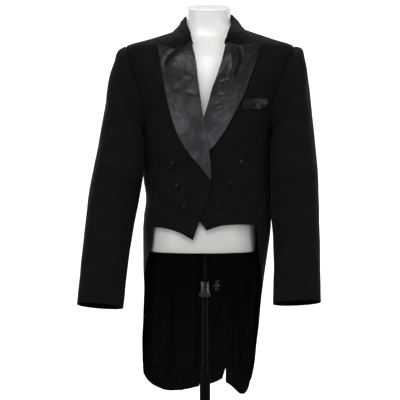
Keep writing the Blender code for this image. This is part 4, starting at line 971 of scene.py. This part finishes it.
for side in ("right", "left"):
    unrolled = around_sleeve(side)

    def from_sleeve_axis(centre, side=side):
        middle = sleeve_middle(side, np.array([centre.z]))[0]
        return Vector((centre.x - middle[0], centre.y - middle[1], 0.0)).normalized()

    for node, name, flat, area in (
        ("top_sleeve_", "oversleeve_", (0.27, 0.70), 0.172),
        ("under_sleeve_", "undersleeve_", (0.12, 0.55), 0.050),
    ):
        piece = sheet_from(node + side, name + side, from_sleeve_axis)
        lay_weave(piece, unrolled)
        places = points_of(piece)
        lift = crease_lift(unrolled(places), SLEEVE_CREASES[side], SLEEVE_LAP)
        lift += wrinkle(places, *SLEEVE_RIPPLE)
        apart = off_seam(piece, body_ground, ARMHOLE_NEAR)
        head = np.clip((places[:, 2] - HEAD_FROM) / HEAD_BAND, 0, 1)
        roll = HEAD_ROLL * np.exp(-((apart / ROLL_WIDTH) ** 2)) * head
        move_out(piece, lift * np.clip(apart / STILL_SEAM, 0, 1) ** 1.5 + roll)
        turn_under(piece, body_ground, ARMHOLE_NEAR, reach=0.008, drop=0.003)
        if node == "under_sleeve_":
            turn_under(piece, tree_of(over), SLEEVE_SEAM_NEAR, reach=0.005, drop=0.0022)
        thicken(piece, WOOL_WALL, wool, lining_cloth)
        over = piece
        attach(piece, "form")
        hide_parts(node + side)

# The lapels: black silk satin, faced over the wool of the fronts and rolled back on the chest.
# The silk is crushed from wear, and its colour is painted with a sheen in broken patches, darker in its
# upper half and lighter in its lower half: painted reflection.
SATIN_WALL = 0.0014
# Heights between which the painted sheen of the satin comes in, from none above to full below.
PAINTED_SHEEN_FROM = 1.34
PAINTED_SHEEN_FULL = 1.22
SATIN_RIPPLE = (0.024, 0.0012, 5.0)
SATIN_CRUSH = (0.009, 0.0011, 7.0)


def satin_finish():
    """Crushed silk satin: its colour is painted dark above and lighter below, in patches of painted sheen,
    and painted shade makes it black in its folds, where it is also dull.
    """
    colour = (0.020, 0.020, 0.023)
    material, nodes, links, shader = new_finish("black_silk_satin", colour, 0.36, specular=0.24)
    where = nodes.new("ShaderNodeTexCoord")
    patch = noise_of(nodes, links, where.outputs["Object"], 17.0, 6.0, 0.9)
    crush = noise_of(nodes, links, where.outputs["Object"], 46.0, 4.0, 0.8)
    crumple = noise_of(nodes, links, where.outputs["Object"], 150.0, 3.0, 0.6)
    rise = nodes.new("ShaderNodeSeparateXYZ")
    links.new(where.outputs["Object"], rise.inputs["Vector"])
    level = nodes.new("ShaderNodeMapRange")
    level.inputs["From Min"].default_value = PAINTED_SHEEN_FROM
    level.inputs["From Max"].default_value = PAINTED_SHEEN_FULL
    links.new(rise.outputs["Z"], level.inputs["Value"])
    # Painted reflection: the upper half is painted dark, and the lower half in lighter patches of painted
    # sheen.
    dark, shade = (0.0026, 0.0035, 0.0038), (0.0075, 0.0090, 0.0097)
    upper = ramp_of(nodes, links, patch, dark, shade, 0.44, 0.62)
    grey, painted_shine = (0.0280, 0.0282, 0.0317), (0.0710, 0.0690, 0.0810)
    lower = ramp_of(nodes, links, patch, grey, painted_shine, 0.44, 0.60)
    silk = nodes.new("ShaderNodeMix")
    silk.data_type = "RGBA"
    links.new(level.outputs["Result"], silk.inputs[0])
    links.new(upper, silk.inputs[6])
    links.new(lower, silk.inputs[7])
    painted_light_mask = nodes.new("ShaderNodeAttribute")
    painted_light_mask.attribute_name = "painted_light_mask"
    tone = nodes.new("ShaderNodeMix")
    tone.data_type = "RGBA"
    links.new(painted_light_mask.outputs["Fac"], tone.inputs[0])
    links.new(silk.outputs[2], tone.inputs[6])
    # Painted shade: in the folds the silk's colour goes nearly black.
    tone.inputs[7].default_value = (0.0012, 0.0013, 0.0015, 1.0)
    links.new(tone.outputs[2], shader.inputs["Base Color"])
    dull = nodes.new("ShaderNodeMix")
    dull.data_type = "RGBA"
    links.new(painted_light_mask.outputs["Fac"], dull.inputs[0])
    links.new(grey_ramp(nodes, links, crumple, 0.27, 0.44), dull.inputs[6])
    dull.inputs[7].default_value = (1.0, 1.0, 1.0, 1.0)
    links.new(dull.outputs[2], shader.inputs["Roughness"])
    thread = nodes.new("ShaderNodeTexWave")
    thread.bands_direction = "X"
    thread.inputs["Scale"].default_value = 1300.0
    links.new(where.outputs["UV"], thread.inputs["Vector"])
    broad = bump_of(nodes, links, crush, 0.30, 0.0016)
    small = bump_of(nodes, links, crumple, 0.22, 0.0006, broad)
    fine = bump_of(nodes, links, thread.outputs["Fac"], 0.10, 0.00006, small)
    links.new(fine, shader.inputs["Normal"])
    return material


satin = satin_finish()


def mark_painted_light(item, depth):
    """Keeps a value at each point that the painted light of the silk follows: on the lapels how deep the
    point lies in a fold, where painted shade darkens the silk, and on the welt its shiny half.
    """
    layer = item.data.attributes.new("painted_light_mask", "FLOAT", "POINT")
    layer.data.foreach_set("value", np.clip(depth, 0.0, 1.0))


def to_front(centre):
    return Vector((0.0, -1.0, 0.0))


# Satin creases as seen from the front: from (x, height) to (x, height), half width, depth, bow.
LAPEL_CREASES = {
    "right": (
        (-0.036, 1.437, -0.074, 1.405, 0.0060, -0.0034, 0.0020),
        (-0.066, 1.412, -0.104, 1.368, 0.0070, -0.0036, -0.0020),
        (-0.099, 1.379, -0.099, 1.334, 0.0040, -0.0016, 0.0010),
        (-0.084, 1.410, -0.106, 1.402, 0.0040, 0.0016, 0.0000),
        (-0.056, 1.405, -0.084, 1.379, 0.0045, 0.0015, -0.0015),
        (-0.074, 1.286, -0.079, 1.248, 0.0035, -0.0018, 0.0010),
        (-0.096, 1.296, -0.074, 1.309, 0.0030, 0.0015, 0.0010),
        (-0.089, 1.276, -0.069, 1.266, 0.0030, 0.0014, -0.0010),
        (-0.084, 1.248, -0.053, 1.238, 0.0035, 0.0016, 0.0010),
        (-0.048, 1.304, -0.018, 1.288, 0.0050, 0.0013, 0.0010),
        (-0.018, 1.233, -0.048, 1.208, 0.0040, 0.0014, -0.0010),
        (-0.064, 1.213, -0.038, 1.182, 0.0035, -0.0013, 0.0010),
        (-0.028, 1.187, -0.003, 1.157, 0.0035, 0.0015, 0.0010),
        (-0.015, 1.157, 0.007, 1.112, 0.0030, -0.0012, 0.0010),
        (-0.048, 1.349, -0.074, 1.324, 0.0060, -0.0011, 0.0020),
    ),
    "left": (
        (0.078, 1.424, 0.088, 1.368, 0.0062, -0.0034, 0.0030),
        (0.089, 1.384, 0.074, 1.328, 0.0066, -0.0032, -0.0030),
        (0.054, 1.424, 0.038, 1.380, 0.0052, -0.0026, 0.0010),
        (0.065, 1.410, 0.068, 1.354, 0.0050, 0.0016, 0.0010),
        (0.108, 1.405, 0.098, 1.374, 0.0040, -0.0012, 0.0000),
        (0.035, 1.324, 0.068, 1.334, 0.0032, 0.0022, 0.0015),
        (0.027, 1.304, 0.088, 1.306, 0.0045, -0.0016, 0.0010),
        (0.027, 1.291, 0.078, 1.296, 0.0040, 0.0012, 0.0010),
        (0.060, 1.240, 0.035, 1.210, 0.0026, 0.0020, -0.0015),
        (0.070, 1.263, 0.053, 1.228, 0.0028, 0.0016, 0.0010),
        (0.022, 1.253, 0.053, 1.268, 0.0030, 0.0018, 0.0010),
        (0.015, 1.228, 0.048, 1.246, 0.0026, -0.0018, 0.0010),
        (0.015, 1.200, 0.035, 1.210, 0.0024, 0.0020, 0.0025),
        (0.017, 1.182, 0.037, 1.192, 0.0024, 0.0018, 0.0010),
        (0.043, 1.283, 0.022, 1.268, 0.0026, 0.0016, 0.0010),
        (0.078, 1.286, 0.058, 1.273, 0.0026, -0.0014, 0.0010),
    ),
}


def front_view(points):
    return points[:, [0, 2]]


# Each facing: flat size and area.
FACING_CUTS = {"right": ((0.13, 0.36), 0.0245), "left": ((0.15, 0.30), 0.0215)}
DEEPEST_FOLD = -0.0006
FOLD_BAND = 0.0022
CRUSHED_TO = 1.31

for side in ("right", "left"):
    piece = sheet_from("lapel_" + side, "facing_" + side, to_front)
    lay_weave(piece, around_body)
    places = points_of(piece)
    folds = crease_lift(front_view(places), LAPEL_CREASES[side])
    # Painted shade: points deep in a fold are marked, and their silk is painted darker.
    mark_painted_light(piece, 0.9 * np.clip((DEEPEST_FOLD - folds) / FOLD_BAND, 0, 1))
    lift = body_lift(places) + np.maximum(folds, DEEPEST_FOLD)
    crushed = np.clip((CRUSHED_TO - places[:, 2]) / 0.05, 0.25, 1) if side == "left" else 0.45
    lift += np.abs(wrinkle(places, *SATIN_RIPPLE))
    lift += crushed * np.abs(wrinkle(places, *SATIN_CRUSH))
    move_out(piece, lift)
    thicken(piece, SATIN_WALL, satin, wool, 0.0005)
    flat, area = FACING_CUTS[side]
    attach(piece, "form")
    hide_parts("lapel_" + side)

# The breast welt: a band of the same satin, sewn on round three sides.
# Its inner half lies dull and flat, and its outer half is ruffled and glossy, with painted highlights.
WELT_WALL = 0.0012
WELT_CRUSH = (0.006, 1.0, 2.0)
WELT_CRUSH_DEPTH = 0.0008
UPPER_SWAY = (0.010, 0.0026, 4.0)
LOWER_SWAY = (0.014, 0.0018, 6.0)

def pocket_finish():
    colour = (0.004, 0.004, 0.005)
    material, nodes, links, shader = new_finish("black_pocket_silk", colour, 0.24, specular=0.30)
    where = nodes.new("ShaderNodeTexCoord")
    crush = noise_of(nodes, links, where.outputs["Object"], 75.0, 3.0, 0.8)
    shine_mask = nodes.new("ShaderNodeAttribute")
    shine_mask.attribute_name = "painted_light_mask"
    painted_shine = nodes.new("ShaderNodeMath")
    painted_shine.operation = "MULTIPLY"
    links.new(crush, painted_shine.inputs[0])
    links.new(shine_mask.outputs["Fac"], painted_shine.inputs[1])
    # Painted highlights: the outer half is painted paler in patches where the crush noise is high.
    dark, painted_highlight = (0.0020, 0.0021, 0.0025), (0.022, 0.022, 0.026)
    tone = ramp_of(nodes, links, painted_shine.outputs["Value"], dark, painted_highlight, 0.40, 0.62)
    links.new(tone, shader.inputs["Base Color"])
    gloss = grey_ramp(nodes, links, shine_mask.outputs["Fac"], 0.75, 0.22, 0.1, 0.9)
    links.new(gloss, shader.inputs["Roughness"])
    links.new(bump_of(nodes, links, crush, 0.20, 0.0010), shader.inputs["Normal"])
    return material


welt = sheet_from("breast_welt", "pocket_welt", to_front, levels=5)
lay_weave(welt, around_body)
places = points_of(welt)
low, high = places.min(axis=0), places.max(axis=0)
# Folds of the welt, from its lower inner corner: from (along, up) to (along, up), half width, depth, bow.
WELT_FOLDS = (
    (0.060, 0.004, 0.040, 0.024, 0.0022, 0.0034, 0.001),
    (0.062, 0.018, 0.044, 0.006, 0.0018, 0.0030, 0.002),
    (0.052, 0.027, 0.048, 0.004, 0.0018, 0.0032, -0.002),
    (0.063, 0.026, 0.054, 0.012, 0.0018, 0.0036, 0.001),
    (0.040, 0.025, 0.034, 0.008, 0.0020, -0.0012, 0.001),
    (0.034, 0.018, 0.012, 0.012, 0.0030, 0.0018, 0.002),
    (0.030, 0.006, 0.014, 0.022, 0.0022, 0.0015, -0.001),
    (0.012, 0.024, 0.006, 0.005, 0.0020, 0.0014, 0.001),
)
# Where the welt's shiny half begins: there it is glossier and painted with highlights.
SHINY_HALF_FROM = 0.022
SHINY_HALF_BAND = 0.020
on_welt = front_view(places) - low[[0, 2]]
mark_painted_light(welt, (on_welt[:, 0] - SHINY_HALF_FROM) / SHINY_HALF_BAND)
lift = body_lift(places) + crease_lift(on_welt, WELT_FOLDS)
move_out(welt, lift + WELT_CRUSH_DEPTH * np.abs(wrinkle(places, *WELT_CRUSH)))
places = points_of(welt)
along = places * np.array((1.0, 0.0, 0.0))
upward = np.clip((places[:, 2] - low[2]) / (high[2] - low[2]), 0, 1)
sway = wrinkle(along, *UPPER_SWAY) * upward
sway += wrinkle(along, *LOWER_SWAY) * (1 - upward)
places[:, 2] += sway
welt.data.vertices.foreach_set("co", places.ravel())
thicken(welt, WELT_WALL, pocket_finish(), wool, 0.0004)
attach(welt, "form")
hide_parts("breast_welt")

# The buttons: moulds covered in the same silk, with a pressed rim, sewn on by a short shank.
# Three stand on each front as trimming, and one at each side of the back waist.
BUTTON_NODES = [f"button_{side}_{k}" for side in ("right", "left") for k in (1, 2, 3)]
BUTTON_NODES += ["waist_button_right", "waist_button_left"]
BUTTON_STEPS = 40
BUTTON_REACH = 0.03


def button_finish():
    colour = (0.003, 0.003, 0.0035)
    material, nodes, links, shader = new_finish("button_silk", colour, 0.22, specular=0.12)
    where = nodes.new("ShaderNodeTexCoord")
    pull = noise_of(nodes, links, where.outputs["Object"], 420.0, 3.0)
    tone = ramp_of(nodes, links, pull, (0.0015, 0.0015, 0.0020), (0.0032, 0.0032, 0.0038))
    links.new(tone, shader.inputs["Base Color"])
    links.new(bump_of(nodes, links, pull, 0.10, 0.0002), shader.inputs["Normal"])
    return material


# Half a section of a button, from its dome to its shank: radius, height above the cloth.
BUTTON_PROFILE = (
    (0.0, 0.00500),
    (0.0035, 0.00490),
    (0.0065, 0.00455),
    (0.0078, 0.00415),
    (0.0082, 0.00395),
    (0.0086, 0.00415),
    (0.0093, 0.00420),
    (0.0099, 0.00370),
    (0.0101, 0.00290),
    (0.0097, 0.00205),
    (0.0084, 0.00150),
    (0.0030, 0.00125),
    (0.0026, 0.00030),
    (0.0, 0.00030),
)
button_silk = button_finish()
for node in BUTTON_NODES:
    low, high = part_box(node)
    middle = (low + high) / 2
    side = "right" if "right" in node else "left"
    ground = tree_of(panels[("back_" if "waist" in node else "front_") + side])
    facing = from_axis(middle)
    hit, normal, _, _ = ground.ray_cast(middle + facing * BUTTON_REACH, -facing)
    if normal.dot(facing) < 0:
        normal = -normal
    button = lathe("covered_" + node, BUTTON_PROFILE, button_silk, steps=BUTTON_STEPS)
    button.data.transform(Vector((0, 0, 1)).rotation_difference(normal).to_matrix().to_4x4())
    button.data.transform(Matrix.Translation(hit))
    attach(button, "form")
    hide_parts(node)
